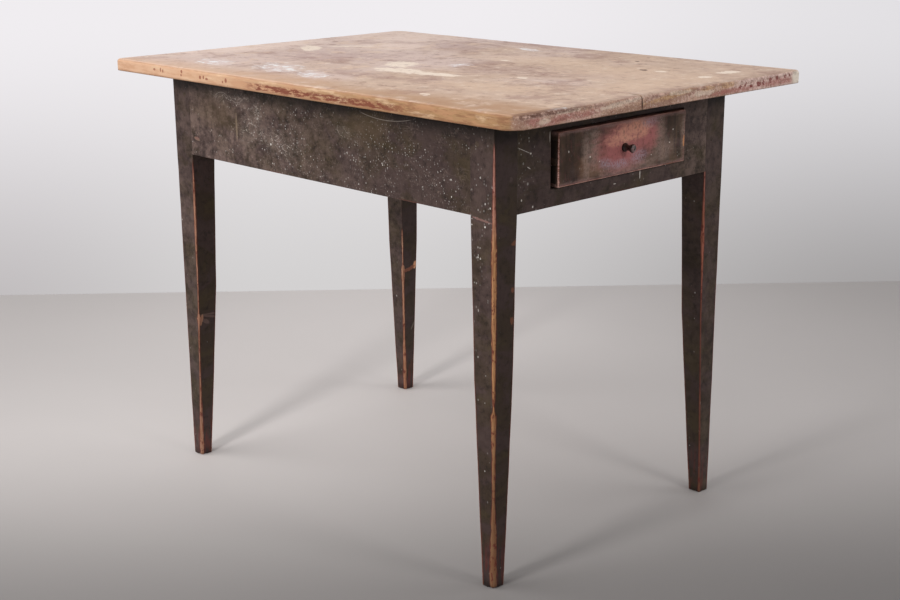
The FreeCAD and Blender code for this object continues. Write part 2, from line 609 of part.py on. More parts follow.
def all_nodes():
    nodes = {}
    nodes.update(top_boards())
    nodes["top_dowels"] = Part.makeCompound(list(dowel_rods()))
    nodes.update(battens())
    nodes["batten_screws"] = Part.makeCompound([screw(*place) for place in batten_screw_places()])
    nodes["glue_blocks"] = Part.makeCompound(glue_blocks())
    for name, place in LEGS.items():
        nodes[name] = leg(*place)
    nodes["apron_left"] = side_apron(LEFT_Y, 1)
    nodes["apron_right"] = side_apron(RIGHT_Y, -1)
    nodes["apron_far_end"] = end_apron(FAR_X, 1)
    nodes["apron_drawer_end"] = near_apron()
    nodes["joint_pegs"] = Part.makeCompound(list(peg_rods()))
    nodes["runner_rail"] = runner_rail()
    for side, (outer_y, inward) in DRAWER_SIDES.items():
        nodes["runner_" + side] = runner(side)
        nodes["guide_" + side] = guide(side)
        nodes["kicker_" + side] = kicker(side)
        nodes["drawer_side_" + side] = drawer_side(outer_y, inward)
    nodes["drawer_stops"] = Part.makeCompound(drawer_stops())
    runner_nails = [one for side in DRAWER_SIDES for one in runner_nails_of(side)]
    nodes["runner_nails"] = Part.makeCompound(runner_nails)
    nodes["kicker_screws"] = Part.makeCompound([screw(*place) for place in kicker_screw_places()])
    nodes["drawer_front"] = drawer_front()
    nodes["drawer_back"] = drawer_back()
    nodes["drawer_bottom"] = drawer_bottom()
    nodes["drawer_nails"] = Part.makeCompound(list(drawer_nail_solids()))
    nodes["drawer_knob"] = drawer_knob()
    return nodes


os.makedirs("parts", exist_ok=True)
for node, shape in all_nodes().items():
    shape.exportStep("parts/" + node + ".step")
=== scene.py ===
import math
from functools import partial

import bmesh
import bpy
import numpy as np
from mathutils import Matrix, Vector, noise


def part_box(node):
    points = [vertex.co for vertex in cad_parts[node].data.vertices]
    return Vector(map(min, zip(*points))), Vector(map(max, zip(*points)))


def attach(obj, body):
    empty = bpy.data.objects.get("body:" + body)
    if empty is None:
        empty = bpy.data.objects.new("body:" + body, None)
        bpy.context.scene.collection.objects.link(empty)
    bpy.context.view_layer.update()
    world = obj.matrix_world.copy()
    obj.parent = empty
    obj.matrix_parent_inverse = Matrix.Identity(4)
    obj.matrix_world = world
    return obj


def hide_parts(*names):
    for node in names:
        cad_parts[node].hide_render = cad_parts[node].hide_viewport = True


# Looks of a small old tavern table: a worn bare top on a frame that still has its dark paint.
# Metres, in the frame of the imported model: +X towards the drawer's end, +Z up, floor at z = 0.
# Left is -Y. Colours are written as they are seen on a screen, 0 to 255. Tables of marks and of
# wear, and the sizes of noise, are in millimetres and degrees.

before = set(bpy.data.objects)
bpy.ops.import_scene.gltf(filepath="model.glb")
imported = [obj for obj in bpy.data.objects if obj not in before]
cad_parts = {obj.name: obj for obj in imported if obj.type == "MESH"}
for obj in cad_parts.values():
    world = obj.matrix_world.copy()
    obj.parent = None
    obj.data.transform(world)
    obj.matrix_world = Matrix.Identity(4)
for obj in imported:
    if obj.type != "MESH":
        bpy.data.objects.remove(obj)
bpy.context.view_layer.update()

MM = 0.001


# ---- Small helpers ----

def linear(screen):
    """A screen colour as the linear colour that nodes take."""
    shares = [value / 255 for value in screen]
    return [s / 12.92 if s <= 0.04045 else ((s + 0.055) / 1.055) ** 2.4 for s in shares] + [1.0]


def boxes(*nodes):
    """The box around one or more CAD nodes, as two arrays."""
    corners = np.array([[list(corner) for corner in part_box(node)] for node in nodes])
    return corners[:, 0].min(axis=0), corners[:, 1].max(axis=0)


def mm(*lengths):
    return np.array(lengths) * MM


def new_object(name, data):
    thing = bpy.data.objects.new(name, data)
    bpy.context.scene.collection.objects.link(thing)
    return thing


def soft_step(value, low, high):
    share = np.clip((value - low) / (high - low), 0.0, 1.0)
    return share * share * (3.0 - 2.0 * share)


def waves(points, size, seed):
    """Smooth noise from -1 to 1 at each point, with features of about the given size."""
    shift = Vector((seed * 7.31, seed * 3.17, seed * 5.93))
    return np.array([noise.noise(Vector(point) / size + shift) for point in points])


def rough_waves(points, size, seed):
    return 0.65 * waves(points, size, seed) + 0.35 * waves(points, size / 2.7, seed + 1)


# ---- Materials ----

THROUGH = 10.0            # a half-width, in metres, that reaches through any piece


class Value:
    """What a node gives out. Arithmetic with it adds more nodes."""

    def __init__(self, nodes, socket):
        self.nodes = nodes
        self.socket = socket

    def __add__(self, other):
        return self.nodes.math("ADD", self, other)

    def __sub__(self, other):
        return self.nodes.math("SUBTRACT", self, other)

    def __rsub__(self, other):
        return self.nodes.math("SUBTRACT", other, self)

    def __mul__(self, other):
        return self.nodes.math("MULTIPLY", self, other)

    def __abs__(self):
        return self.nodes.math("ABSOLUTE", self)

    def step(self, low, high, top=1.0):
        """A smooth step from 0 at low to top at high."""
        inputs = {"Value": self, "From Min": low, "From Max": high, "To Min": 0.0, "To Max": top}
        return self.nodes.add("MapRange", inputs, interpolation_type="SMOOTHSTEP")

    def other(self, output):
        """Another output of the same node."""
        return Value(self.nodes, self.socket.node.outputs[output])


class Nodes:
    """A tree of nodes, with short names for what makes it up."""

    def __init__(self, tree, place):
        self.tree = tree
        self.place = self.add("TexCoord", output=place)
        self.x = self.add("SeparateXYZ", {0: self.place})
        self.y, self.z = self.x.other("Y"), self.x.other("Z")

    def add(self, kind, inputs=(), output=0, **settings):
        node = self.tree.nodes.new("ShaderNode" + kind)
        for key, value in settings.items():
            setattr(node, key, value)
        for key, value in dict(inputs).items():
            self.put(node.inputs[key], value)
        return Value(self, node.outputs[output])

    def put(self, socket, value):
        """Sets an input to a node's output, a screen colour, a vector or a number."""
        if isinstance(value, Value):
            self.tree.links.new(value.socket, socket)
        else:
            socket.default_value = linear(value) if socket.type == "RGBA" else value

    def math(self, operation, *values):
        return self.add("Math", enumerate(values), operation=operation)

    def either(self, largest, *values):
        for value in values:
            largest = self.math("MAXIMUM", largest, value)
        return largest

    def blend(self, share, a, b):
        return self.add("Mix", {0: share, 6: a, 7: b}, output=2, data_type="RGBA")

    def along(self, direction):
        """How far the place is along a direction."""
        inputs = {0: self.place, 1: direction}
        return self.add("VectorMath", inputs, output="Value", operation="DOT_PRODUCT")


class Surface(Nodes):
    """One procedural material. Its colour is built up in coats."""

    def __init__(self, name, seed, grain="X"):
        self.material = bpy.data.materials.new(name)
        self.material.use_nodes = True
        super().__init__(self.material.node_tree, "Object")
        self.shader = self.tree.nodes["Principled BSDF"].inputs
        self.seed = seed
        self.grain = grain
        self.colour = self.normal = None
        self.uneven = self.noise((6, 20), 40, detail=4, rough=0.65)

    def facing(self, letter):
        normal = self.add("NewGeometry", output="Normal")
        return self.add("SeparateXYZ", {0: normal}, output=letter)

    def stretched(self, sizes, shift):
        """The place in units of three sizes, or of one across the grain and one along it."""
        if len(sizes) == 2:
            sizes = [sizes[letter == self.grain] for letter in "XYZ"]
        offset = self.seed + shift
        inputs = {0: self.place, 1: [1 / (size * MM) for size in sizes],
                  2: (offset, offset * 1.7, offset * 2.3)}
        return self.add("VectorMath", inputs, operation="MULTIPLY_ADD")

    def noise(self, sizes, shift=0.0, detail=3.0, rough=0.55, warp=0.0):
        """Noise with features of the given sizes. Another shift gives another pattern."""
        inputs = {"Vector": self.stretched(sizes, shift), "Scale": 1.0, "Detail": detail,
                  "Roughness": rough, "Distortion": warp}
        return self.add("TexNoise", inputs, output="Fac")

    def specks(self, cell, shift, share, size):
        """Small dots in some cells of a grid: the share of the cells, and the dots' size in cells."""
        inputs = {"Vector": self.stretched(cell, shift), "Scale": 1.0, "Randomness": 1.0}
        chance = self.add("TexVoronoi", inputs, output="Color")
        red = self.add("SeparateColor", {0: chance}, output="Red")
        green, blue = red.other("Green"), red.other("Blue")
        dot = (chance.other("Distance") - (green + 0.35) * size).step(0.03, -0.03)
        return dot * self.math("LESS_THAN", red, share) * (blue * blue * 0.8 + 0.2)

    def threads(self, sizes, shift, width):
        """Thin wandering lines: where a smooth noise passes through its middle value."""
        smooth = self.noise(sizes, shift, detail=2, rough=0.5, warp=0.6)
        return abs(smooth - 0.5).step(width, 0.0)

    def mark(self, through, a, b, half_a, half_b, turn=0.0, ragged=0.9, soft=0.18):
        """A patch with an uneven edge, seen along one axis: 1 inside and 0 outside. Its middle,
        half-widths and turn are in the plane of the other two axes."""
        number = "XYZ".index(through)
        inputs = {"Vector": self.place, "Location": np.insert(mm(a, b), number, 0.0),
                  "Rotation": np.insert([0.0, 0.0], number, math.radians(turn)),
                  "Scale": np.insert(mm(half_a, half_b), number, THROUGH)}
        place = self.add("Mapping", inputs, vector_type="TEXTURE")
        distance = self.add("VectorMath", {0: place}, output="Value", operation="LENGTH")
        return (distance + (self.uneven - 0.5) * (2 * ragged)).step(1 + soft, 1 - soft)

    def marks(self, through, table, **edge):
        return self.either(*(self.mark(through, *row, **edge) for row in table))

    def hair(self, x, z, half, bend, width):
        """A hanging thread on a long side: a parabola that turns at x and z."""
        along, height = self.x - x * MM, self.z - z * MM
        line = abs(height - along * along * bend).step(width * MM, 0.0)
        return line * abs(along).step(half * MM, half * MM * 0.8)

    def coat(self, tone, share):
        """Covers the colour with another one, as far as share says."""
        self.colour = self.blend(share, self.colour, tone)

    def patch(self, through, table, tone, share=1.0, **edge):
        self.coat(tone, self.marks(through, table, **edge) * share)

    def bump(self, height, distance, strength):
        inputs = {"Height": height, "Distance": distance, "Strength": strength}
        if self.normal is not None:
            inputs["Normal"] = self.normal
        self.normal = self.add("Bump", inputs)

    def finish(self, roughness, specular=0.5):
        self.put(self.shader["Base Color"], self.colour)
        self.put(self.shader["Roughness"], roughness)
        self.put(self.shader["Specular IOR Level"], specular)
        if self.normal is not None:
            self.put(self.shader["Normal"], self.normal)
        return self.material


# ---- Old dark paint ----

PAINT_BROWN = (59, 46, 36)
PAINT_OLIVE = (66, 54, 36)
PAINT_MAROON = (65, 50, 47)
PAINT_BLACK = (28, 23, 19)
PAINT_DUST = (136, 114, 105)
SPECK_WHITE = (232, 226, 218)
RED_COAT = (106, 46, 40)
WOOD_WORN = (196, 134, 88)
WOOD_WORN_DARK = (132, 84, 58)
WOOD_PINKISH = (184, 130, 116)
WOOD_RAW = (158, 124, 88)
WOOD_RAW_DARK = (112, 80, 54)


def paint_layers(s, dust, share, shade):
    """Dark paint: its colour in patches, runs and dust, then splashes of white, and painted shade
    just under the top.
    """
    patches = s.noise((90, 90, 60), detail=5, rough=0.62, warp=0.5)
    mottle = s.noise((12, 12, 12), 4, detail=7, rough=0.72)
    runs = s.noise((10, 10, 90), 9)
    fibres = s.noise((1.8, 35), 2, detail=2)
    cloud = s.noise((40, 40, 32), 6, detail=8, rough=0.76)
    s.colour = s.blend(patches.step(0.45, 0.53), PAINT_MAROON, PAINT_BROWN)
    s.coat(PAINT_OLIVE, patches.step(0.55, 0.63, 0.8))
    s.coat(PAINT_BLACK, mottle.step(0.48, 0.34, 0.5))
    s.coat(PAINT_DUST, (cloud * 0.6 + mottle * 0.4).step(0.4, 0.61) * dust * (runs * 0.8 + 0.6))
    s.coat(PAINT_BLACK, fibres.step(0.52, 0.8, 0.28))

    crowd = s.noise((70, 70, 55), 11, detail=4).step(0.38, 0.55)
    crowd = crowd * (s.noise((16, 16, 14), 13).step(0.42, 0.56) * 0.9 + 0.3)
    mist = s.specks((4, 4, 5.2), 5, share, 0.28)
    dots = s.specks((7, 7, 9.2), 3, share, 0.17)
    blots = s.specks((18, 18, 24), 8, share * 0.6, 0.085)
    s.coat(SPECK_WHITE, s.either(mist * crowd * 0.55, dots * (crowd * 0.9 + 0.05), blots))
    # Painted shade: the paint is darkened in a band just below the top's overhang, as far as shade
    # says.
    s.coat(PAINT_BLACK, (s.z + s.uneven * 0.01).step(0.69, 0.712, shade))
    s.bump(mottle, 0.0007, 0.5)
    s.bump(fibres, 0.0003, 0.5)


def raw_wood(s):
    """The colour of softwood that was planed and never painted, and its fibres."""
    rings = s.noise((8, 350), 50, detail=2, warp=0.8)
    fibres = s.noise((1.4, 50), 55)
    colour = s.blend(rings.step(0.42, 0.6, 0.7), WOOD_RAW, WOOD_RAW_DARK)
    return s.blend(fibres.step(0.5, 0.78, 0.5), colour, WOOD_RAW_DARK), fibres


def wear_through(s, wood=WOOD_WORN, high_wood=WOOD_PINKISH, low_wood=WOOD_WORN, rim_strength=0.7):
    """Bares the wood beside an arris as far as the piece says, with a rim of red undercoat."""
    edge = s.add("Attribute", output="Fac", attribute_name="edge")
    reach = s.add("Attribute", output="Fac", attribute_name="worn")
    ragged = s.noise((3.5, 13), 20, detail=4, rough=0.6)
    beyond = edge - reach * (ragged * 1.3 + 0.35)
    rubbed = beyond.step(0.0003, -0.0004) * reach.step(0.0003, 0.001)
    rim = beyond.step(0.0022, 0.0003) * reach.step(0.0002, 0.0009) * rim_strength
    streaks = s.noise((1.6, 30), 30)
    nicks = s.noise((5, 11), 33)
    bare = s.blend(s.z.step(0.52, 0.62), wood, high_wood)
    bare = s.blend(s.z.step(0.42, 0.06), bare, low_wood)
    bare = s.blend(streaks.step(0.36, 0.7), bare, WOOD_WORN_DARK)
    bare = s.blend(nicks.step(0.55, 0.66, 1.2 * rim_strength), bare, RED_COAT)
    s.coat(RED_COAT, rim)
    s.coat(bare, rubbed)
    s.bump(rubbed, 0.0004, -0.6)
    return rubbed


def painted(name, seed, grain, dust=0.3, specks=0.3, shade=0.6, raw_side=None, extra=None, **wear):
    """Dark paint over wood, worn through where an arris has been rubbed. raw_side is the axis and
    the sign of the face that was never painted. extra adds what only this piece has. dust and
    specks are numbers, or functions of the surface. shade is the strength of the painted shade
    just under the top."""
    s = Surface(name, seed, grain)
    dust, specks = (value(s) if callable(value) else value for value in (dust, specks))
    paint_layers(s, dust, specks, shade)
    if extra:
        extra(s)
    rubbed = wear_through(s, **wear)
    if raw_side:
        letter, sign = raw_side
        s.coat(raw_wood(s)[0], (s.facing(letter) * sign).step(0.75, 0.85))
    # The paint is darker in the lowest few centimetres near the floor, less so where the wood is
    # bare.
    darker_at_foot = (s.z + s.uneven * 0.02).step(0.03, 0.01, 0.6)
    s.coat(PAINT_BLACK, darker_at_foot * (1.0 - rubbed * 0.8))
    return s.finish(rubbed * 0.15 + s.uneven * 0.3 + 0.34, specular=0.22)


def bare_wood(name, seed, grain, painted_from=None):
    """Old unpainted softwood that is seldom seen. From a given x on it has the front's paint."""
    s = Surface(name, seed, grain)
    s.colour, fibres = raw_wood(s)
    stains = s.noise((120, 90, 90), 8, detail=4)
    s.coat((84, 64, 48), stains.step(0.5, 0.75, 0.4))
    if painted_from is not None:
        place = s.x + s.uneven * 0.004
        covered = place.step(painted_from + 0.002, painted_from + 0.003)
        s.coat(s.blend(stains, PAINT_BROWN, PAINT_BLACK), covered)
    s.bump(fibres, 0.0004, 0.6)
    return s.finish(fibres * 0.2 + 0.65, specular=0.3)


def rusty_iron(name, seed):
    s = Surface(name, seed)
    spots = s.noise((1.2, 1.2, 1.2), detail=4)
    s.colour = s.blend(spots.step(0.45, 0.65), (70, 66, 62), (104, 62, 40))
    s.put(s.shader["Metallic"], 0.6)
    s.bump(spots, 0.0002, 0.7)
    return s.finish(spots * 0.4 + 0.35)


# ---- The worn top's material ----

# Marks: the place of their middle, half-widths and a turn, all in the plane of the face they are
# on. Those on the top are seen from above: x and y.
CREAM_MARKS = (
    (16, -113, 50, 24, 10), (92, -108, 46, 16, 12), (-48, -55, 40, 26, -43), (-362, 0, 44, 19, -39),
    (-330, 72, 40, 8, 43), (229, -46, 11, 8), (248, -276, 9, 7), (46, 106, 9, 7),
    (432, 160, 11, 13), (424, 234, 14, 22), (338, 168, 11, 8))
WHITE_SPLASHES = (
    (-312, -254, 44, 24, -15), (-165, -226, 58, 32, -25), (-50, -246, 44, 22, -30),
    (-39, 258, 32, 11, -16), (34, 2, 16, 22), (494, -254, 10, 26))
MAUVE_MARKS = (
    (-230, -60, 110, 70, 20), (-60, 325, 120, 26, 5), (150, 20, 120, 50, 8), (-20, -190, 70, 24, 5),
    (260, 60, 80, 40, 10), (-190, 190, 90, 60))
PALE_MARKS = (
    (-400, 260, 130, 110), (-270, 130, 70, 60, 20), (258, -160, 100, 40, 15), (-460, -60, 50, 180),
    (420, 60, 50, 140), (100, 150, 120, 50, 8), (310, 120, 110, 80))
KNOT_MARKS = ((305, 164, 7, 6), (222, 252, 5, 4))


def top_face(s, fibres):
    """The upper face: bleached and rubbed wood with old stains, splashes and scraped patches."""
    broad = s.noise((200, 200, 300), 1)
    stains = s.noise((85, 85, 300), 5, detail=6, rough=0.65)
    scraped = s.noise((50, 50, 300), 9, detail=6, rough=0.68)
    rubbed = s.noise((20, 20, 50), 3, detail=6, rough=0.7)
    s.colour = s.blend((broad + s.x * 0.4).step(0.34, 0.62), (224, 200, 190), (214, 186, 166))
    s.patch("Z", MAUVE_MARKS, (176, 144, 140), 0.35, soft=0.5)
    pale = s.marks("Z", PALE_MARKS, soft=0.6) * 0.75
    s.coat(s.blend(s.x.step(-0.25, 0.2), (250, 226, 212), (226, 196, 172)), pale)
    s.coat((174, 140, 130), stains.step(0.5, 0.62, 0.52) * (1.0 - pale))
    s.coat((232, 204, 182), scraped.step(0.52, 0.64, 0.6))
    s.coat((164, 130, 118), rubbed.step(0.53, 0.66) * (0.6 - pale * 0.4))
    s.coat((238, 218, 202), rubbed.step(0.46, 0.33, 0.6))
    s.coat((156, 124, 108), fibres.step(0.54, 0.8, 0.25))
    tan = (s.y - s.x * 0.06 + broad * 0.16).step(-0.16, -0.245) * scraped.step(0.7, 0.48) * 0.8
    s.coat(s.blend(s.x.step(-0.4, 0.4), (226, 188, 158), (190, 150, 118)), tan)
    s.patch("Z", CREAM_MARKS, (254, 236, 218), rubbed.step(0.77, 0.54) * 0.92, ragged=1.1)
    drops = s.specks((13, 11, 50), 14, 0.8, 0.3)
    smears = s.noise((16, 16, 50), 16, detail=5).step(0.5, 0.58)
    splashed = s.marks("Z", WHITE_SPLASHES, ragged=1.3, soft=0.4)
    s.coat((240, 224, 222), splashed * 0.45)
    s.coat((250, 246, 244), splashed * s.either(drops, smears))
    s.coat((248, 230, 216), s.specks((26, 26, 50), 17, 0.24, 0.16) * 0.75)
    s.coat((124, 92, 78), s.specks((20, 15, 50), 19, 0.16, 0.1) * 0.55)
    s.patch("Z", KNOT_MARKS, (90, 64, 58))
    near_rim = (s.x + s.uneven * 0.02).step(0.484, 0.494)
    s.coat((118, 86, 74), near_rim * (s.y.step(-0.21, -0.27, 0.45) + 0.22))
    return rubbed


# Nicks on the long edge, seen from the left: x and z.
SIDE_NICKS = (
    (-369, 740, 3, 2), (-350, 741, 2, 4), (-343, 739, 2, 3), (-286, 743, 3, 3), (-288, 737, 2, 2),
    (-232, 738, 3, 3, 20), (-222, 739, 2, 3), (-213, 737, 4, 2), (-159, 739, 3, 4),
    (-168, 736, 2, 2))


def long_side_face(s, fibres):
    """The long edge: warm bare wood with a band and nicks of old dark red."""
    tones = s.noise((50, 50, 9), 23, detail=6, rough=0.65)
    s.colour = s.blend(s.x.step(-0.42, 0.3), (224, 182, 150), (174, 136, 98))
    s.coat((198, 146, 112), tones.step(0.48, 0.62, 0.5))
    s.coat((230, 198, 164), tones.step(0.47, 0.34, 0.55))
    dashes = s.specks((6.5, 20, 13), 26, 0.2, 0.2) * 0.6
    s.coat((146, 78, 60), s.either(s.marks("Y", SIDE_NICKS, ragged=0.6) * 0.8, dashes))
    band = (abs(s.z - 0.7365) + s.uneven * 0.01).step(0.0116, 0.008)
    band = band * s.x.step(-0.12, -0.07) * s.x.step(0.33, 0.22)
    smears = s.noise((18, 20, 4.5), 28, detail=6, rough=0.74)
    s.coat((122, 60, 48), band * smears.step(0.4, 0.5) * 0.9)
    worn = s.noise((30, 20, 5), 31, detail=5, rough=0.7)
    s.coat((134, 90, 66), worn.step(0.46, 0.62) * s.x.step(0.05, 0.3, 0.55))
    s.coat((150, 104, 78), (abs(s.z - 0.739) + s.uneven * 0.004).step(0.009, 0.0115, 0.5))
    s.coat((150, 108, 80), fibres.step(0.55, 0.8, 0.2))
    return s.colour


# Marks on the near end of the top: y and z.
END_OCHRE = ((140, 745, 20, 5), (90, 744, 16, 4), (0, 742, 60, 4, 5))
END_CREAM = (
    (-120, 743, 60, 3, 4), (-228, 745, 26, 3), (-280, 736, 14, 4), (20, 745, 30, 3),
    (80, 738, 30, 4))
# The near-white tip of the right corner is a painted highlight on pale worn wood.
END_TIP = ((333, 739, 13, 13),)
END_BROWN = ((-330, 738, 14, 12), (-20, 736, 86, 8, 4), (110, 734, 40, 5), (-110, 732, 60, 4, 4))
END_RED = (
    (176, 738, 5, 3), (189, 740, 3, 3), (226, 738, 6, 4), (238, 739, 4, 4), (257, 741, 4, 4),
    (276, 743, 4, 3), (300, 743, 3, 3), (312, 744, 2, 3), (205, 736, 4, 3))
END_PINK = (
    (-246, 736, 40, 5, 6), (-190, 737, 30, 4, 6), (-300, 737, 16, 6), (160, 734, 60, 4),
    (280, 736, 50, 5))
JOINT_CRACK = ((-69.5, 736, 1.3, 16, 2),)


def end_face(s):
    """End grain: pale and rough, with red left in the pores and the edges knocked brown, and painted
    light towards its right end.
    """
    grit = s.noise((3, 3, 2.6), 33, detail=5, rough=0.75)
    clods = s.noise((12, 9, 5), 35, detail=5, rough=0.7)
    clouds = s.noise((50, 40, 16), 36, detail=4)
    rings = s.noise((50, 6, 20), 38, detail=2, warp=1.4)
    s.colour = s.blend(clouds.step(0.42, 0.6), (218, 180, 156), (232, 194, 176))
    # Painted light: the end grain is made lighter towards the right end, where more light falls.
    s.coat((252, 222, 212), s.y.step(0.1, 0.2) * 0.75)
    s.patch("X", END_BROWN, (160, 122, 100), 0.65, soft=0.5)
    s.coat((172, 128, 108), rings.step(0.48, 0.64, 0.4))
    s.patch("X", END_OCHRE, (214, 170, 120), 0.6)
    s.patch("X", END_PINK, (188, 118, 110), 0.75, soft=0.6)
    s.coat((152, 106, 92), clods.step(0.52, 0.6, 0.6))
    s.patch("X", END_CREAM, (250, 228, 206), 0.6, ragged=1.3)
    s.coat((146, 102, 90), grit.step(0.52, 0.62, 0.5))
    s.coat((255, 238, 228), grit.step(0.45, 0.34, 0.65))
    s.patch("X", END_RED, (134, 60, 56), grit.step(0.36, 0.46) * 0.9, ragged=1.5)
    s.patch("X", END_TIP, (255, 244, 226), 0.85, ragged=0.5, soft=0.4)
    s.patch("X", JOINT_CRACK, (62, 40, 34), ragged=0.3)
    z = s.z + s.uneven * 0.004
    s.coat((124, 86, 74), z.step(0.7325, 0.7295, 0.5))
    at_corner = (s.y + s.uneven * 0.04).step(-0.14, -0.24, 0.6)
    upper = z.step(0.743, 0.7475) * (at_corner + 0.35) * clods.step(0.36, 0.52)
    s.coat((118, 84, 72), upper)
    return s.colour, grit


def top_wood(name, fibre_shift):
    """One material for every side of a board of the top. The wear runs on across the joints."""
    s = Surface(name, 3.0)
    fibres = s.noise((60, 1.6, 4), 60 + fibre_shift)
    side_colour = long_side_face(s, fibres)
    end_colour, grit = end_face(s)
    streaks = top_face(s, fibres)
    on_end = abs(s.facing("X")).step(0.5, 0.8)
    s.coat(side_colour, abs(s.facing("Y")).step(0.5, 0.8))
    s.coat(end_colour, on_end)
    s.coat(raw_wood(s)[0], s.facing("Z").step(-0.6, -0.9))
    s.coat((60, 44, 34), 0.06)
    s.bump(streaks * 0.6 + fibres * 0.4, 0.0008, 0.55)
    s.bump(grit * on_end, 0.0016, 0.8)
    return s.finish(streaks * 0.25 + 0.55, specular=0.12)


# ---- Meshes ----

TINY = 1e-9
TOUCH = 1e-6              # nearer than this is in the same place


def spaced(low, high, near_low, near_high, step):
    """Cutting places from low to high: given distances from each end, and evenly in between."""
    first, last = low + near_low, high - near_high[::-1]
    count = max(1, round((last[0] - first[-1]) / step))
    middle = np.linspace(first[-1], last[0], count + 1)[1:-1]
    return np.concatenate([first, middle, last])


def skin(xs, ys, zs, filled=None):
    """Corner points and quads of the skin of a block that is cut at xs, ys and zs. filled says which
    of its cells are there."""
    if filled is None:
        filled = np.ones((len(xs) - 1, len(ys) - 1, len(zs) - 1), bool)
    sizes = (len(xs), len(ys), len(zs))
    number = np.arange(np.prod(sizes)).reshape(sizes)
    around = np.pad(filled, 1)
    quads = []
    for axis in range(3):
        for side in (0, 1):
            beside = np.roll(around, 1 - 2 * side, axis)[1:-1, 1:-1, 1:-1]
            cells = np.argwhere(filled & ~beside)
            ring = ((0, 0), (1, 0), (1, 1), (0, 1)) if side else ((0, 0), (0, 1), (1, 1), (1, 0))
            corners = []
            for step_b, step_c in ring:
                place = cells + np.roll((side, step_b, step_c), axis)
                corners.append(number[tuple(place.T)])
            quads.append(np.stack(corners, axis=1))
    used, quads = np.unique(np.concatenate(quads), return_inverse=True)
    i, j, k = np.unravel_index(used, sizes)
    return np.stack([xs[i], ys[j], zs[k]], axis=1), quads.reshape(-1, 4)


def edge_distance(points, low, high):
    """How far each point on a block's skin is from the nearest edge."""
    return np.sort(np.minimum(points - low, high - points), axis=1)[:, 1]


def rounded(points, low, high, radius):
    """The skin of a block with its edges rounded, with a radius for each point."""
    radius = np.broadcast_to(radius, len(points))[:, None]
    inner = np.clip(points, low + radius, high - radius)
    away = points - inner
    length = np.maximum(np.linalg.norm(away, axis=1, keepdims=True), TINY)
    return inner + away / length * radius


def reshape(mesh, change):
    shape = bmesh.new()
    shape.from_mesh(mesh)
    change(shape)
    shape.to_mesh(mesh)
    shape.free()


def add_piece(node, points, quads, material, body="frame", slot="painted_wood", ending="_worn",
              **attributes):
    """A mesh object that rides on a body and stands for a CAD node."""
    mesh = bpy.data.meshes.new(node + ending)
    mesh.from_pydata(points.tolist(), [], quads.tolist())
    for key, values in attributes.items():
        layer = mesh.attributes.new(key, "FLOAT", "POINT")
        layer.data.foreach_set("value", np.asarray(values, np.float32))
    reshape(mesh, lambda shape: bmesh.ops.recalc_face_normals(shape, faces=shape.faces))
    mesh.shade_smooth()
    mesh.materials.append(material)
    piece = new_object(node + ending, mesh)
    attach(piece, body)
    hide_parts(node)
    return mesh


# ---- The top ----

BOARDS = ("top_board_left", "top_board_middle", "top_board_right")
TOP_LOW, TOP_HIGH = boxes(*BOARDS)
TOP_MIDDLE = (TOP_LOW + TOP_HIGH) / 2
TOP_HALF = (TOP_HIGH - TOP_LOW) / 2
WORN_CORNER = 28 * MM
TIGHT_CORNER = 4 * MM
EDGE_CUTS = mm(0, 0.8, 1.6, 2.6, 3.7, 4.8, 6, 7.5, 9.5, 12, 15, 18, 21, 24, 28, 34)
JOINT_CUTS = mm(0, 0.8, 3)
UNDER_CUTS = mm(0, 0.7, 1.3, 2)


def top_shape(points):
    """Rounds the corners and arrises of the whole top, and wears them unevenly."""
    x, y, z = points.T
    corner = np.where(x * y < 0, WORN_CORNER, TIGHT_CORNER)[:, None]
    plan = points[:, :2]
    inner = np.clip(plan, corner - TOP_HALF[:2], TOP_HALF[:2] - corner)
    away = plan - inner
    level = np.abs(away).max(axis=1)
    inset = corner[:, 0] - level

    flat = points * (1, 1, 0)
    upper = (6.0 + 1.8 * rough_waves(flat, 0.05, 3) + 1.2 * waves(flat, 0.011, 8)) * MM
    above = z > TOP_MIDDLE[2]
    radius = np.where(above, np.clip(upper, 3 * MM, 9 * MM), 2 * MM)
    depth = np.where(above, TOP_HIGH[2] - z, z - TOP_LOW[2])
    inner_inset = np.maximum(inset, radius)
    inner_depth = np.maximum(depth, radius)
    out = np.stack([inset - inner_inset, depth - inner_depth], axis=1)
    length = np.maximum(np.linalg.norm(out, axis=1), TINY)
    turned = (length > 10 * TINY) & (inset < corner[:, 0])
    new_inset = np.where(turned, inner_inset + out[:, 0] / length * radius, inset)
    new_depth = np.where(turned, inner_depth + out[:, 1] / length * radius, depth)

    side_wave = 0.35 * MM * (1 + waves(flat, 0.07, 5))
    new_inset += side_wave * soft_step(-inset, -8 * MM, 0)
    dents = 0.22 * MM * (1 + rough_waves(flat, 0.09, 12))
    new_depth += above * dents * soft_step(-depth, -4 * MM, 0)

    direction = away / np.maximum(np.linalg.norm(away, axis=1, keepdims=True), TINY)
    reach = (corner[:, 0] - new_inset)[:, None]
    new_plan = np.where(level[:, None] > TINY, inner + direction * reach, plan)
    new_z = np.where(above, TOP_HIGH[2] - new_depth, TOP_LOW[2] + new_depth)
    return np.column_stack([new_plan, new_z])


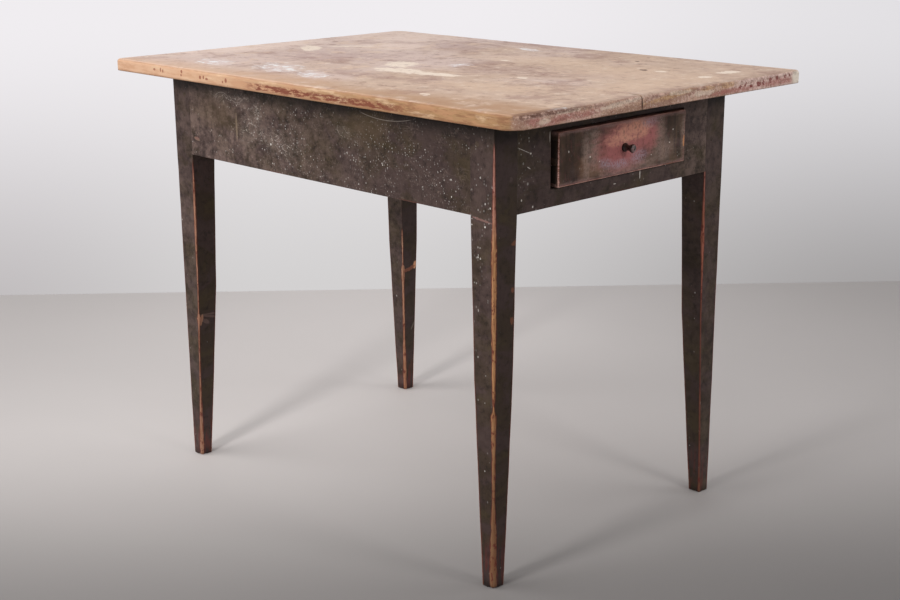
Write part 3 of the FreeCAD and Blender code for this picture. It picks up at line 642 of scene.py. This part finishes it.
def add_board(number, node):
    """One board of the top. The fine groove at each joint opens into a crack at the near end."""
    low, high = boxes(node)
    low_joint, high_joint = number > 0, number < len(BOARDS) - 1
    xs = spaced(TOP_LOW[0], TOP_HIGH[0], EDGE_CUTS, EDGE_CUTS, 8 * MM)
    ys = spaced(low[1], high[1], JOINT_CUTS if low_joint else EDGE_CUTS,
                JOINT_CUTS if high_joint else EDGE_CUTS, 8 * MM)
    zs = spaced(TOP_LOW[2], TOP_HIGH[2], UNDER_CUTS, EDGE_CUTS[:8], 4 * MM)
    points, quads = skin(xs, ys, zs)
    x, y, z = points.T
    centre = TOP_MIDDLE * (1, 1, 0)
    shaped = top_shape(points - centre) + centre
    at_joint = 1.0 * (low_joint & (y < low[1] + TOUCH)) - (high_joint & (y > high[1] - TOUCH))
    shaped[:, 1] += at_joint * (0.05 + 0.4 * soft_step(x, 0.482, 0.49)) * MM
    shaped[:, 2] -= np.abs(at_joint) * (z > TOP_HIGH[2] - TOUCH) * 0.15 * MM
    add_piece(node, shaped, quads, top_wood(node, number * 13.7), slot="top_wood")


# ---- Legs ----

LEG_HEIGHTS = (0.0, 0.33, 0.584, 0.728)
LEG_WIDTHS = (0.024, 0.0415, 0.048, 0.048)
LEG_FULL = 0.048
LEG_CUTS = mm(0, 0.7, 1.4, 2.2, 3.2, 4.4, 6, 9)
FOOT_CUTS = mm(0, 0.6, 1.3, 2.2, 4)
HEAD_CUTS = mm(0, 1)
SEEN_ARRIS = (1, -1)      # the arris that faces +X and -Y is the most worn one on every leg

# Each leg: how wide the wood is bare on each face beside the most worn arris, as pairs of height
# and width; bare wood half way up and at the foot; dust and painted light on the left face, and
# dust on the near one; share of specks; and marks, with the axis they are seen along, their
# colour, strength and places.
LEGS = {
    "leg_left_near": (
        ((0, 7), (24, 7.2), (72, 6.4), (119, 4.2), (147, 2.7), (189, 3.1), (229, 3.5), (256, 4.5),
         (284, 5), (292, 1.8), (300, 1.2), (309, 2.7), (345, 3.4), (412, 4.4), (473, 4.8),
         (535, 4.8), (598, 3), (640, 2.1), (670, 1.5), (690, 0.7), (702, 0), (728, 0)),
        (188, 138, 94), (136, 100, 72), (0.10, 0.04), 0.34, (
        ("Y", (150, 112, 104), 0.6, ((373, 580, 22, 1.6, 6),)),
        ("X", (150, 92, 66), 0.45, ((-240, 543, 7, 4, 20), (-243, 472, 4, 5), (-245, 426, 4, 6))))),
    "leg_left_far": (
        ((0, 5.4), (40, 4.4), (90, 3), (130, 1.8), (200, 1.1), (262, 1.6), (275, 5), (286, 1.1),
         (330, 1), (400, 1.7), (450, 2.4), (530, 1.9), (550, 1), (590, 0), (728, 0)),
        (192, 142, 116), (168, 126, 104), (0.26, 0.04), 0.01, (
        ("X", (140, 112, 104), 0.32,
         ((-258, 280, 26, 1.6, -4), (-252, 274, 26, 2.2, -14), (-268, 268, 10, 4, -30))),
        ("X", (176, 126, 98), 0.65, ((-278, 270, 4, 11, -20),)))),
    "leg_right_near": (
        ((0, 3), (30, 1.8), (100, 0.9), (172, 1.2), (200, 0.7), (330, 0.7), (400, 1.2), (440, 2.6),
         (462, 3.8), (490, 3.4), (520, 2), (560, 1.4), (584, 1), (588, 0), (728, 0)),
        (184, 112, 94), (108, 74, 60), (0.06, 0.25), 0.01, (
        ("X", (230, 220, 208), 0.9, ((235, 172, 1.2, 4),)),)),
    "leg_right_far": (
        ((0, 4.2), (50, 4.2), (100, 3.4), (115, 2), (150, 2.6), (240, 2.6), (262, 4.2), (279, 4),
         (284, 1.1), (312, 1.1), (320, 1.6), (354, 1.3), (362, 0.3), (584, 0.3), (588, 0),
         (728, 0)),
        (212, 168, 140), (186, 134, 104), (0.26, 0.06), 0.01, (
        ("X", (236, 172, 130), 0.95, ((268, 279, 12, 8, 30),)),
        ("X", (142, 88, 68), 0.8, ((253, 273, 9, 4, 20), (241, 270, 14, 3.6, 6))),
        ("X", (140, 130, 118), 0.4, ((262, 145, 2, 14, -30),)))),
}
OTHER_WEAR = ((0, 2), (40, 1.6), (110, 0.8), (420, 0.7), (560, 0.4), (584, 0), (728, 0))
FRAME_LOW, FRAME_HIGH = boxes(*LEGS)
FRAME_MIDDLE = (FRAME_LOW + FRAME_HIGH) / 2


def leg_extras(marks, s):
    for through, tone, strength, table in marks:
        sign = 1 if through == "X" else -1
        on_face = (s.facing(through) * sign).step(0.4, 0.8, strength)
        s.patch(through, table, tone, on_face)
    streaks = s.noise((5, 50), 70, detail=4)
    kicked = s.z.step(0.11, 0.015) * streaks.step(0.44, 0.6) * 0.55
    s.coat(RED_COAT, kicked)


def leg_specks(most, s):
    """A leg is splashed on its left face, most of all high up."""
    high_up = s.z.step(0.25, 0.62, most)
    return s.facing("Y").step(-0.2, -0.8) * (high_up + 0.02) + 0.01


# Dust and painted light: the left face, which the key lamp lights, is made lighter, and more so high
# up, where more light falls; the other faces get dust alone.
def leg_dust_and_painted_light(from_left, from_near, s):
    high_up = s.z.step(0.1, 0.5, 0.14)
    more = high_up + (from_left - from_near - 0.02)
    return s.facing("Y").step(-0.2, -0.8) * more + from_near


def wear_at(height, table):
    heights, widths = np.array(table).T * MM
    return np.interp(height, heights, widths)


def add_leg(node, seed):
    """A square tapered leg whose arrises are worn by a different amount at every height."""
    wear, wood, low_wood, dust, specks, marks = LEGS[node]
    low, high = boxes(node)
    outward = np.sign(((low + high) / 2 - FRAME_MIDDLE)[:2])
    corner = np.where(outward > 0, high[:2], low[:2])
    across = spaced(0, LEG_FULL, LEG_CUTS, LEG_CUTS, 6 * MM)
    points, quads = skin(across, across, spaced(low[2], high[2], FOOT_CUTS, HEAD_CUTS, 4 * MM))
    height = points[:, 2]
    width = np.interp(height, LEG_HEIGHTS, LEG_WIDTHS)
    points[:, :2] *= (width / LEG_FULL)[:, None]

    gap_in = width[:, None] - points[:, :2]
    outer = points[:, :2] < gap_in
    edge = np.minimum(points[:, :2], gap_in).max(axis=1)
    seen = (outer == (np.array(SEEN_ARRIS) == outward)).all(axis=1)
    along_arris = np.column_stack([seen * 1.0 + seed, outer[:, 0] * 2.0, height])
    ragged = 1 + 0.35 * rough_waves(along_arris, 0.03, seed) + 0.2 * waves(along_arris, 0.008, seed)
    worn = np.where(seen, wear_at(height, wear), wear_at(height, OTHER_WEAR))
    beside_apron = (height > LEG_HEIGHTS[2]) & ~outer.all(axis=1)
    radius = np.clip(0.85 * worn * ragged, np.where(beside_apron, 0.08, 0.5) * MM, 6.5 * MM)
    limit = np.column_stack([width, width, np.full(len(width), high[2])])
    leg = rounded(points, np.zeros(3), limit, radius)
    planed = 0.25 * MM * (1 + waves(placed(points, corner, outward), 0.05, seed + 4))
    planed *= 1 - 0.9 * soft_step(height, 0.54, 0.58)
    leg[:, :2] += np.sign(width[:, None] / 2 - leg[:, :2]) * (planed * (edge < 1))[:, None]
    material = painted(node, seed, "Z", partial(leg_dust_and_painted_light, *dust), partial(leg_specks, specks),
                       extra=partial(leg_extras, marks), wood=wood, low_wood=low_wood)
    add_piece(node, placed(leg, corner, outward), quads, material, edge=edge, worn=worn)


def placed(points, corner, outward):
    """A leg's points, measured inwards from its outer corner, in the frame of the whole table."""
    return np.column_stack([corner - outward * points[:, :2], points[:, 2]])


# ---- Aprons ----

APRON_CUTS = mm(0, 0.5, 1.0, 1.6, 2.5, 4, 7)
APRON_ARRIS = 1.0 * MM

# Marks on the left apron, seen from the left: x and z.
APRON_RUNS = ((-217, 650, 2.5, 24), (-338, 615, 9, 3, 10))
APRON_PINK = ((-385, 655, 9, 4), (-338, 616, 8, 3))
APRON_OLIVE = ((-275, 668, 55, 26), (125, 690, 45, 22, -10))
COBWEB_AREAS = (
    (-256, 698, 26, 9), (-205, 694, 30, 10), (-158, 678, 12, 22), (-180, 650, 20, 34, 30),
    (-110, 636, 60, 16, 10), (64, 672, 16, 10))
# Hanging threads: x, z, half the length along x, how much it bends, width.
COBWEB_HAIRS = (
    (166, 702.5, 62, 2.0, 0.8), (-256, 705, 22, -18, 0.8), (-214, 691, 24, 22, 0.8),
    (-158, 668, 9, 280, 0.8))


def even_cuts(low, high, step=8 * MM):
    return spaced(low, high, APRON_CUTS, APRON_CUTS, step)


def eased_board(points, low, high, number):
    """Rounds a board's arrises, but for its two ends along one axis, which meet the legs."""
    beyond = 2 * APRON_ARRIS * np.eye(3)[number]
    uneven = APRON_ARRIS * (1 + 0.4 * rough_waves(points, 0.03, 2))
    return rounded(points, low - beyond, high + beyond, uneven)


def between_legs(node, number):
    """The box of an apron as it shows between two legs. number is the axis along the board."""
    low, high = boxes(node)
    low[number], high[number] = FRAME_LOW[number] + LEG_FULL, FRAME_HIGH[number] - LEG_FULL
    low[2], high[2] = LEG_HEIGHTS[2], LEG_HEIGHTS[3]
    return low, high


def lower_wear(points, low, width, seed, number):
    """Bare wood in stretches along the lower arris only."""
    lower_arris = soft_step(-(points[:, 2] - low[2]), -6 * MM, -3 * MM)
    patchy = soft_step(waves(points * np.eye(3)[number], 0.07, seed), -0.2, 0.5)
    return lower_arris * patchy * width


def left_apron_dust_and_painted_light(s):
    """The far half of the left apron is lighter: more dust lies there, and painted light, as that end
    is lit more.
    """
    return s.x.step(0.26, -0.3, 0.56) + 0.13


def left_apron_specks(s):
    """Most white splashes are on the middle and the near half of the left apron."""
    x = s.x + s.z * 0.5
    return x.step(0.06, 0.24) * x.step(0.78, 0.6) * 0.62 + 0.22


def left_apron_extras(s):
    s.patch("Y", APRON_RUNS, (168, 146, 122), 0.45, ragged=0.5)
    s.patch("Y", APRON_PINK, (140, 92, 88), 0.5)
    s.patch("Y", APRON_OLIVE, (98, 80, 56), 0.4, soft=0.7)
    upright = s.threads((13, 13, 36), 47, 0.012)
    level = s.threads((40, 40, 12), 49, 0.01)
    here = s.noise((30, 30, 24), 48).step(0.44, 0.6, 0.26)
    s.coat((156, 136, 124), s.either(upright, level) * here)
    webs = s.marks("Y", COBWEB_AREAS, ragged=1.2, soft=0.6)
    webs = webs * (s.threads((22, 22, 14), 41, 0.016) * 0.75 + 0.06)
    hairs = s.either(*(s.hair(*row) for row in COBWEB_HAIRS))
    s.coat((178, 166, 156), s.either(webs, hairs * 0.6))


def add_plain_apron(node, seed, number, raw_sign, dust, specks, extra=None):
    """An apron of one whole board. number is the axis along it."""
    low, high = between_legs(node, number)
    points, quads = skin(*map(even_cuts, low, high))
    material = painted(node, seed, "XY"[number], dust, specks, raw_side=("YX"[number], raw_sign),
                       extra=extra)
    add_piece(node, eased_board(points, low, high, number), quads, material,
              edge=edge_distance(points, low, high),
              worn=lower_wear(points, low, 0.6 * MM, seed, number))


# From the drawer's front to the sides of its opening: left and below, right and above.
OPENING_GAPS_LOW = mm(9.5, 1.5)
OPENING_GAPS_HIGH = mm(3.0, 2.5)

# Scratches on the near apron: y and z.
NEAR_SCRATCHES = (
    (-222, 677, 14, 0.35, -23), (-207, 670.5, 1.4, 1.2), (-248.6, 664, 8, 0.5, -30),
    (-241, 658, 1.6, 1.4), (-259, 654, 1.6, 1.6), (-211, 650, 4, 0.5, -30), (-226, 604, 1, 1.6),
    (47, 604, 1.0, 7), (-166, 690, 0.6, 8), (-15, 598, 3, 0.7))


def near_apron_extras(s):
    s.patch("X", NEAR_SCRATCHES, (226, 218, 208), 0.85, ragged=0.4)


def near_apron_specks(s):
    """Nearly all the white splashes are near the left leg."""
    return s.y.step(-0.16, -0.24, 0.24) + 0.06


def near_apron_dust(s):
    return s.y.step(0.06, 0.24, 0.46) + 0.18


def add_near_apron(node, seed):
    """The apron at the drawer's end, with the opening sawn out of one board."""
    low, high = between_legs(node, 1)
    front_low, front_high = boxes("drawer_front")
    open_low = front_low[1:] - OPENING_GAPS_LOW
    open_high = front_high[1:] + OPENING_GAPS_HIGH

    def with_opening(*places):
        return np.unique(np.concatenate(list(map(even_cuts, places, places[1:]))))

    ys = with_opening(low[1], open_low[0], open_high[0], high[1])
    zs = with_opening(low[2], open_low[1], open_high[1], high[2])
    xs = even_cuts(low[0], high[0])
    middle_y, middle_z = (ys[1:] + ys[:-1]) / 2, (zs[1:] + zs[:-1]) / 2
    open_y = (middle_y > open_low[0]) & (middle_y < open_high[0])
    open_z = (middle_z > open_low[1]) & (middle_z < open_high[1])
    filled = np.repeat(~np.logical_and.outer(open_y, open_z)[None], len(xs) - 1, axis=0)
    points, quads = skin(xs, ys, zs, filled=filled)

    beside = np.maximum(np.maximum(open_low - points[:, 1:], points[:, 1:] - open_high), 0)
    to_opening = np.linalg.norm(beside, axis=1)
    edge = np.minimum(edge_distance(points, low, high), to_opening)
    lower = lower_wear(points, low, 1.1 * MM, seed, 1)
    right_end = soft_step(points[:, 1], 0.12, 0.17)
    left_arris = (points[:, 1] < open_low[0] + TOUCH) & (to_opening < 6 * MM)
    worn = np.maximum(lower * (0.5 + 0.5 * right_end), left_arris * 0.3 * MM)
    shaped = eased_board(points, low, high, 1)
    near_face = points[:, 0] > high[0] - TOUCH
    fall = np.clip(1 - to_opening / APRON_ARRIS, 0, 1)
    shaped[:, 0] -= near_face * APRON_ARRIS * (1 - np.sqrt(1 - fall ** 2))
    material = painted(node, seed, "Y", near_apron_dust, near_apron_specks, shade=0.1,
                       raw_side=("X", -1), extra=near_apron_extras)
    add_piece(node, shaped, quads, material, edge=edge, worn=worn)


# ---- The drawer ----

# Marks on the drawer's front: y and z.
FRONT_RED = ((4, 664, 64, 32, 5), (-6, 646, 54, 24), (56, 672, 24, 30))
FRONT_ORANGE = ((22, 682, 36, 12, 5), (-4, 669, 34, 9), (44, 678, 12, 12))
FRONT_BLUE = ((-44, 634, 14, 7, -10), (-12, 630, 20, 6), (34, 636, 18, 8, 10), (62, 688, 16, 7))
FRONT_PALE = (
    (-72, 683, 13, 7), (-72, 656, 12, 30), (-90, 650, 9, 36), (84, 668, 14, 26), (10, 624, 70, 8),
    (92, 640, 24, 16), (150, 655, 7, 32))
FRONT_DARK = ((-134, 650, 16, 34), (-112, 652, 12, 26), (110, 684, 14, 18))
FRONT_FLECKS = (
    (-131, 664, 0.8, 1.6), (-82, 650, 1.3, 1.3), (120, 668, 1.0, 1.2), (112, 648, 1.2, 1.0),
    (-60, 640, 0.9, 0.9), (66, 634, 0.9, 0.9))
FRONT_BARE = ((150, 647, 3, 9),)
FRONT_OCHRE = ((-68, 628, 24, 10, 8), (-98, 634, 10, 16))


def drawer_front_extras(s):
    """Years of hands round the knob have brought out the red and orange coats below."""
    veins = s.noise((20, 6.5, 10), 43, detail=6, rough=0.7)
    grain = s.noise((4, 3, 3.6), 45, detail=4, rough=0.7)
    brushed = s.noise((20, 10, 60), 46, detail=4)
    s.coat((110, 86, 66), brushed.step(0.42, 0.62, 0.5))
    s.patch("X", FRONT_DARK, (54, 36, 25), 0.7, soft=0.8)
    s.patch("X", FRONT_OCHRE, (138, 98, 68), 0.5, soft=0.8)
    s.patch("X", FRONT_PALE, (170, 144, 132), grain.step(0.26, 0.54) * 0.62, soft=0.8)
    s.patch("X", FRONT_RED, (182, 110, 108), grain.step(0.26, 0.46, 0.92), ragged=0.5, soft=0.55)
    s.patch("X", FRONT_ORANGE, (222, 160, 136), veins.step(0.34, 0.5, 0.9), ragged=1.1, soft=0.6)
    s.coat((104, 62, 58), veins.step(0.53, 0.66, 0.5))
    s.patch("X", FRONT_BLUE, (168, 158, 170), grain.step(0.4, 0.54, 0.62), ragged=0.8, soft=0.8)
    height = s.z + s.uneven * 0.012
    edge_haze = s.either(height.step(0.694, 0.702, 0.62), height.step(0.627, 0.619, 0.4))
    s.coat((186, 146, 140), edge_haze * grain.step(0.2, 0.52))
    s.patch("X", FRONT_FLECKS, (232, 222, 212), ragged=0.3)
    s.patch("X", FRONT_BARE, (214, 150, 100))


# The drawer side's dovetails: where their wide ends begin and end.
TAIL_FEET = mm(617.3, 655.3)
TAIL_HEADS = mm(645.3, 683.3)
TAIL_LENGTH = 15 * MM
TAIL_SPREAD = TAIL_LENGTH / 7
TAIL_SINK = 0.4 * MM


def add_drawer_front():
    """The front. Its ends sink a little where the sides' tails come through."""
    low, high = boxes("drawer_front")
    axes = [even_cuts(low[i], high[i], 5 * MM) for i in range(3)]
    tail_cuts = [TAIL_FEET, TAIL_FEET - 0.1 * MM, TAIL_FEET + TAIL_SPREAD,
                 TAIL_HEADS, TAIL_HEADS - 0.1 * MM, TAIL_HEADS - TAIL_SPREAD]
    axes[0] = np.unique(np.append(axes[0], low[0] + TAIL_LENGTH).round(6))
    axes[2] = np.unique(np.append(axes[2], tail_cuts).round(6))
    points, quads = skin(*axes)
    x, y, z = points.T
    upper = soft_step(z, high[2] - 8 * MM, high[2] - 4 * MM)
    in_front = soft_step(x, high[0] - 6 * MM, high[0] - 3 * MM)
    worn = (1.5 - 0.4 * upper) * MM * (1 + 0.5 * waves(points, 0.04, 5)) * in_front
    shaped = rounded(points, low, high, 1.6 * MM * (1 + 0.4 * rough_waves(points, 0.03, 2)))
    spread = TAIL_SPREAD * (1 - np.clip((x - low[0]) / TAIL_LENGTH, 0, 1)) - 0.2 * MM
    over_tail = x < low[0] + TAIL_LENGTH + 0.01 * MM
    level = z[:, None]
    over_tail &= ((level > TAIL_FEET + spread[:, None])
                  & (level < TAIL_HEADS - spread[:, None])).any(axis=1)
    sides = 1.0 * (y < low[1] + TOUCH) - (y > high[1] - TOUCH)
    shaped[:, 1] += over_tail * sides * TAIL_SINK
    material = painted("drawer_front", 81, "Y", 0.3, 0.1, shade=0.2, extra=drawer_front_extras,
                       high_wood=(218, 172, 160), rim_strength=0.35)
    add_piece("drawer_front", shaped, quads, material, "drawer", "drawer_front_wood",
              edge=edge_distance(points, low, high), worn=worn)


# The knob's outline: share of its reach, and radius.
KNOB_OUTLINE = (
    (0.00, 7.4), (0.05, 7.6), (0.13, 7.2), (0.24, 5.6), (0.36, 4.7), (0.48, 4.5), (0.60, 5.2),
    (0.70, 6.6), (0.78, 7.2), (0.86, 7.0), (0.93, 5.8), (0.975, 3.8), (0.995, 1.8))
KNOB_SIDES = 40
KNOB_RINGS = 44


def knob_material():
    s = Surface("knob", 87.0)
    mottle = s.noise((6, 6, 6), detail=4)
    s.colour = s.blend(mottle.step(0.42, 0.62), (40, 25, 22), (66, 40, 38))
    # The end face is lighter: worn paint, and partly a painted highlight.
    s.coat((146, 122, 120), s.facing("X").step(0.45, 0.95) * mottle.step(0.36, 0.54) * 0.8)
    s.bump(mottle, 0.0005, 0.6)
    return s.finish(mottle * 0.3 + 0.22)


def close_ends(shape):
    bmesh.ops.holes_fill(shape, edges=[edge for edge in shape.edges if edge.is_boundary])


def add_knob():
    """A small turned knob, a little off round from wear."""
    low, high = boxes("drawer_knob")
    middle = (low + high) / 2
    face_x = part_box("drawer_front")[1].x
    outline_shares, outline_radii = np.array(KNOB_OUTLINE).T
    shares = np.linspace(0, 1, KNOB_RINGS) * outline_shares[-1]
    radii = np.interp(shares, outline_shares, outline_radii) * MM
    smooth = np.convolve(np.pad(radii, 1, mode="edge"), (0.25, 0.5, 0.25), mode="valid")
    radii = smooth * (high[2] - low[2]) / 2 / smooth.max() * 0.985
    turns = np.linspace(0, 2 * math.pi, KNOB_SIDES, endpoint=False)
    ring_x = face_x + shares * (high[0] - face_x)
    points = np.array([(x, middle[1] + r * math.cos(t), middle[2] + r * math.sin(t))
                       for x, r in zip(ring_x, radii) for t in turns])
    points[:, 1:] += (points[:, 1:] - middle[1:]) * 0.015 * waves(points, 0.008, 6)[:, None]
    number = np.arange(KNOB_RINGS * KNOB_SIDES).reshape(KNOB_RINGS, KNOB_SIDES)
    after = np.roll(number, -1, axis=1)
    quads = np.stack([number[:-1], after[:-1], after[1:], number[1:]], axis=-1).reshape(-1, 4)
    mesh = add_piece("drawer_knob", points, quads, knob_material(), "drawer", "knob_wood", "_turned")
    reshape(mesh, close_ends)


# ---- What is seldom seen ----

ACROSS = ("batten_far", "batten_middle", "batten_near", "runner_rail", "drawer_back",
          "drawer_bottom", "top_dowels")
LENGTHWISE = ("runner_left", "runner_right", "guide_left", "guide_right", "kicker_left",
              "kicker_right", "glue_blocks", "drawer_stops")
IRON = ("batten_screws", "kicker_screws", "runner_nails", "drawer_nails")


def dress(node, material):
    """A better material for a CAD node that stays as it is."""
    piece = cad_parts[node]
    piece.data.materials.clear()
    piece.data.materials.append(material)


def dress_hidden_nodes():
    for grain, nodes in (("Y", ACROSS), ("X", LENGTHWISE)):
        for number, node in enumerate(nodes):
            dress(node, bare_wood(node, 90 + 5.3 * number, grain))
    shoulder_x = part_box("drawer_front")[0].x
    for seed, node in ((120, "drawer_side_left"), (125.3, "drawer_side_right")):
        dress(node, bare_wood(node, seed, "X", shoulder_x))
    for seed, node in enumerate(IRON, 140):
        dress(node, rusty_iron(node, seed))
    dress("joint_pegs", painted("joint_pegs", 150.0, "Z", specks=0.2))


# ---- Camera, light and surroundings ----

CAMERA_PLACE = (1.8148, -1.7434, 1.0498)
CAMERA_AZIMUTH = math.radians(45.95)
CAMERA_TILT = math.radians(16.02)
CAMERA_ROLL = math.radians(-0.37)
IMAGE_WIDTH = 900
FOCAL_PIXELS = 1456.1
SENSOR_WIDTH = 36.0


def add_camera():
    camera = new_object("camera", bpy.data.cameras.new("camera"))
    camera.data.sensor_width = SENSOR_WIDTH
    camera.data.lens = FOCAL_PIXELS / IMAGE_WIDTH * SENSOR_WIDTH
    turn = Matrix.Rotation(CAMERA_AZIMUTH, 4, "Z")
    turn = turn @ Matrix.Rotation(math.pi / 2 - CAMERA_TILT, 4, "X")
    turn = turn @ Matrix.Rotation(CAMERA_ROLL, 4, "Z")
    camera.matrix_world = Matrix.Translation(CAMERA_PLACE) @ turn
    bpy.context.scene.camera = camera


FLOOR_EDGE_LEFT = Vector((-1.7, -0.01, 0))
FLOOR_EDGE_RIGHT = Vector((-0.076, 1.787, 0))


def add_floor():
    """A pale floor that ends where the wall behind the table begins. Its colour holds painted light.
    """
    along = (FLOOR_EDGE_RIGHT - FLOOR_EDGE_LEFT).normalized()
    forward = Vector((along.y, -along.x, 0))
    start = FLOOR_EDGE_LEFT - along * 9
    mesh = bpy.data.meshes.new("floor")
    corners = [start + along * right + forward * near
               for right, near in ((0, 0), (20, 0), (20, 12), (0, 12))]
    mesh.from_pydata(corners, [], [(0, 1, 2, 3)])
    s = Surface("floor", 1.0)
    depth, across = s.along(tuple(-forward)), s.along(tuple(along))
    # Painted light: the floor is darker in front of the table, towards the camera, lighter behind it
    # and again further out in front, lighter in the middle and darker to the right.
    behind = depth.step(-0.62, 0.3, 0.7) + (depth.step(-0.62, -2.8, 0.5) + 0.3)
    middle = abs(across - 0.1).step(1.3, 0.1, 0.23) + 0.77
    right = 1.0 - across.step(-0.5, 0.7, 0.15)
    cloud = s.noise((500, 500, 500), detail=4) * 0.06 + 0.97
    s.colour = s.blend(behind * middle * right * cloud, (0, 0, 0), (236, 229, 226))
    mesh.materials.append(s.finish(0.6, specular=0.2))
    new_object("floor", mesh)


AMBIENT = 0.45
VIEW_RIGHT = (math.cos(CAMERA_AZIMUTH), math.sin(CAMERA_AZIMUTH), 0.0)


def add_world():
    """Soft even light. The camera sees it as a pale wall with painted shading, lighter high up and to
    the left.
    """
    world = bpy.data.worlds.new("studio")
    bpy.context.scene.world = world
    world.use_nodes = True
    world.node_tree.nodes.clear()
    n = Nodes(world.node_tree, "Generated")
    light = n.add("Background", {"Color": (238, 238, 240), "Strength": AMBIENT})
    across = n.along(VIEW_RIGHT)
    # Painted shading on the wall seen by the camera: darker low down, most of all to the right.
    low_left = n.blend(across.step(-0.32, -0.12), (190, 186, 187), (210, 208, 208))
    low_tone = n.blend(across.step(-0.08, 0.33), low_left, (158, 155, 155))
    high_tone = n.blend(across.step(0.0, 0.32), (240, 237, 240), (226, 224, 227))
    tone = n.blend(n.z.step(-0.285, -0.08), low_tone, high_tone)
    wall = n.add("Background", {"Color": tone, "Strength": 1.0})
    seen = n.add("LightPath", output="Is Camera Ray")
    chosen = n.add("MixShader", {0: seen, 1: light, 2: wall})
    output = n.tree.nodes.new("ShaderNodeOutputWorld")
    n.put(output.inputs[0], chosen)


# Lamps: name, place, what it points at, size and power.
LAMPS = (("key", (0.27, -2.1, 1.35), (0, 0, 0.4), 0.36, 21.0),
         ("second", (1.8, 0.14, 1.35), (0, 0, 0.4), 0.4, 5.5),
         ("softbox", (-1.3, -1.7, 2.5), (-0.1, 0, 0.4), 1.8, 30.0),
         ("overhead", (0, 0, 2.8), (0, 0, 0), 2.2, 8.0),
         ("far side", (1.5, 1.5, 1.3), (0.4, 0.2, 0.6), 0.9, 5.0))


def add_lamps():
    for name, place, target, size, power in LAMPS:
        lamp = bpy.data.lights.new(name, "AREA")
        lamp.shape = "SQUARE"
        lamp.size = size
        lamp.energy = power
        light = new_object(name, lamp)
        light.location = place
        light.rotation_mode = "QUATERNION"
        light.rotation_quaternion = (Vector(target) - Vector(place)).to_track_quat("-Z", "Y")


# ---- The whole scene ----

add_camera()
for number, node in enumerate(BOARDS):
    add_board(number, node)
for number, node in enumerate(LEGS):
    add_leg(node, 20.0 + number * 9.1)
add_plain_apron("apron_left", 61, 0, 1, left_apron_dust_and_painted_light, left_apron_specks, left_apron_extras)
add_plain_apron("apron_right", 67, 0, -1, 0.45, 0.3)
add_plain_apron("apron_far_end", 71, 1, 1, 0.3, 0.12)
add_near_apron("apron_drawer_end", 73)
add_drawer_front()
add_knob()
dress_hidden_nodes()
add_floor()
add_world()
add_lamps()

bpy.context.scene.view_settings.view_transform = "Standard"
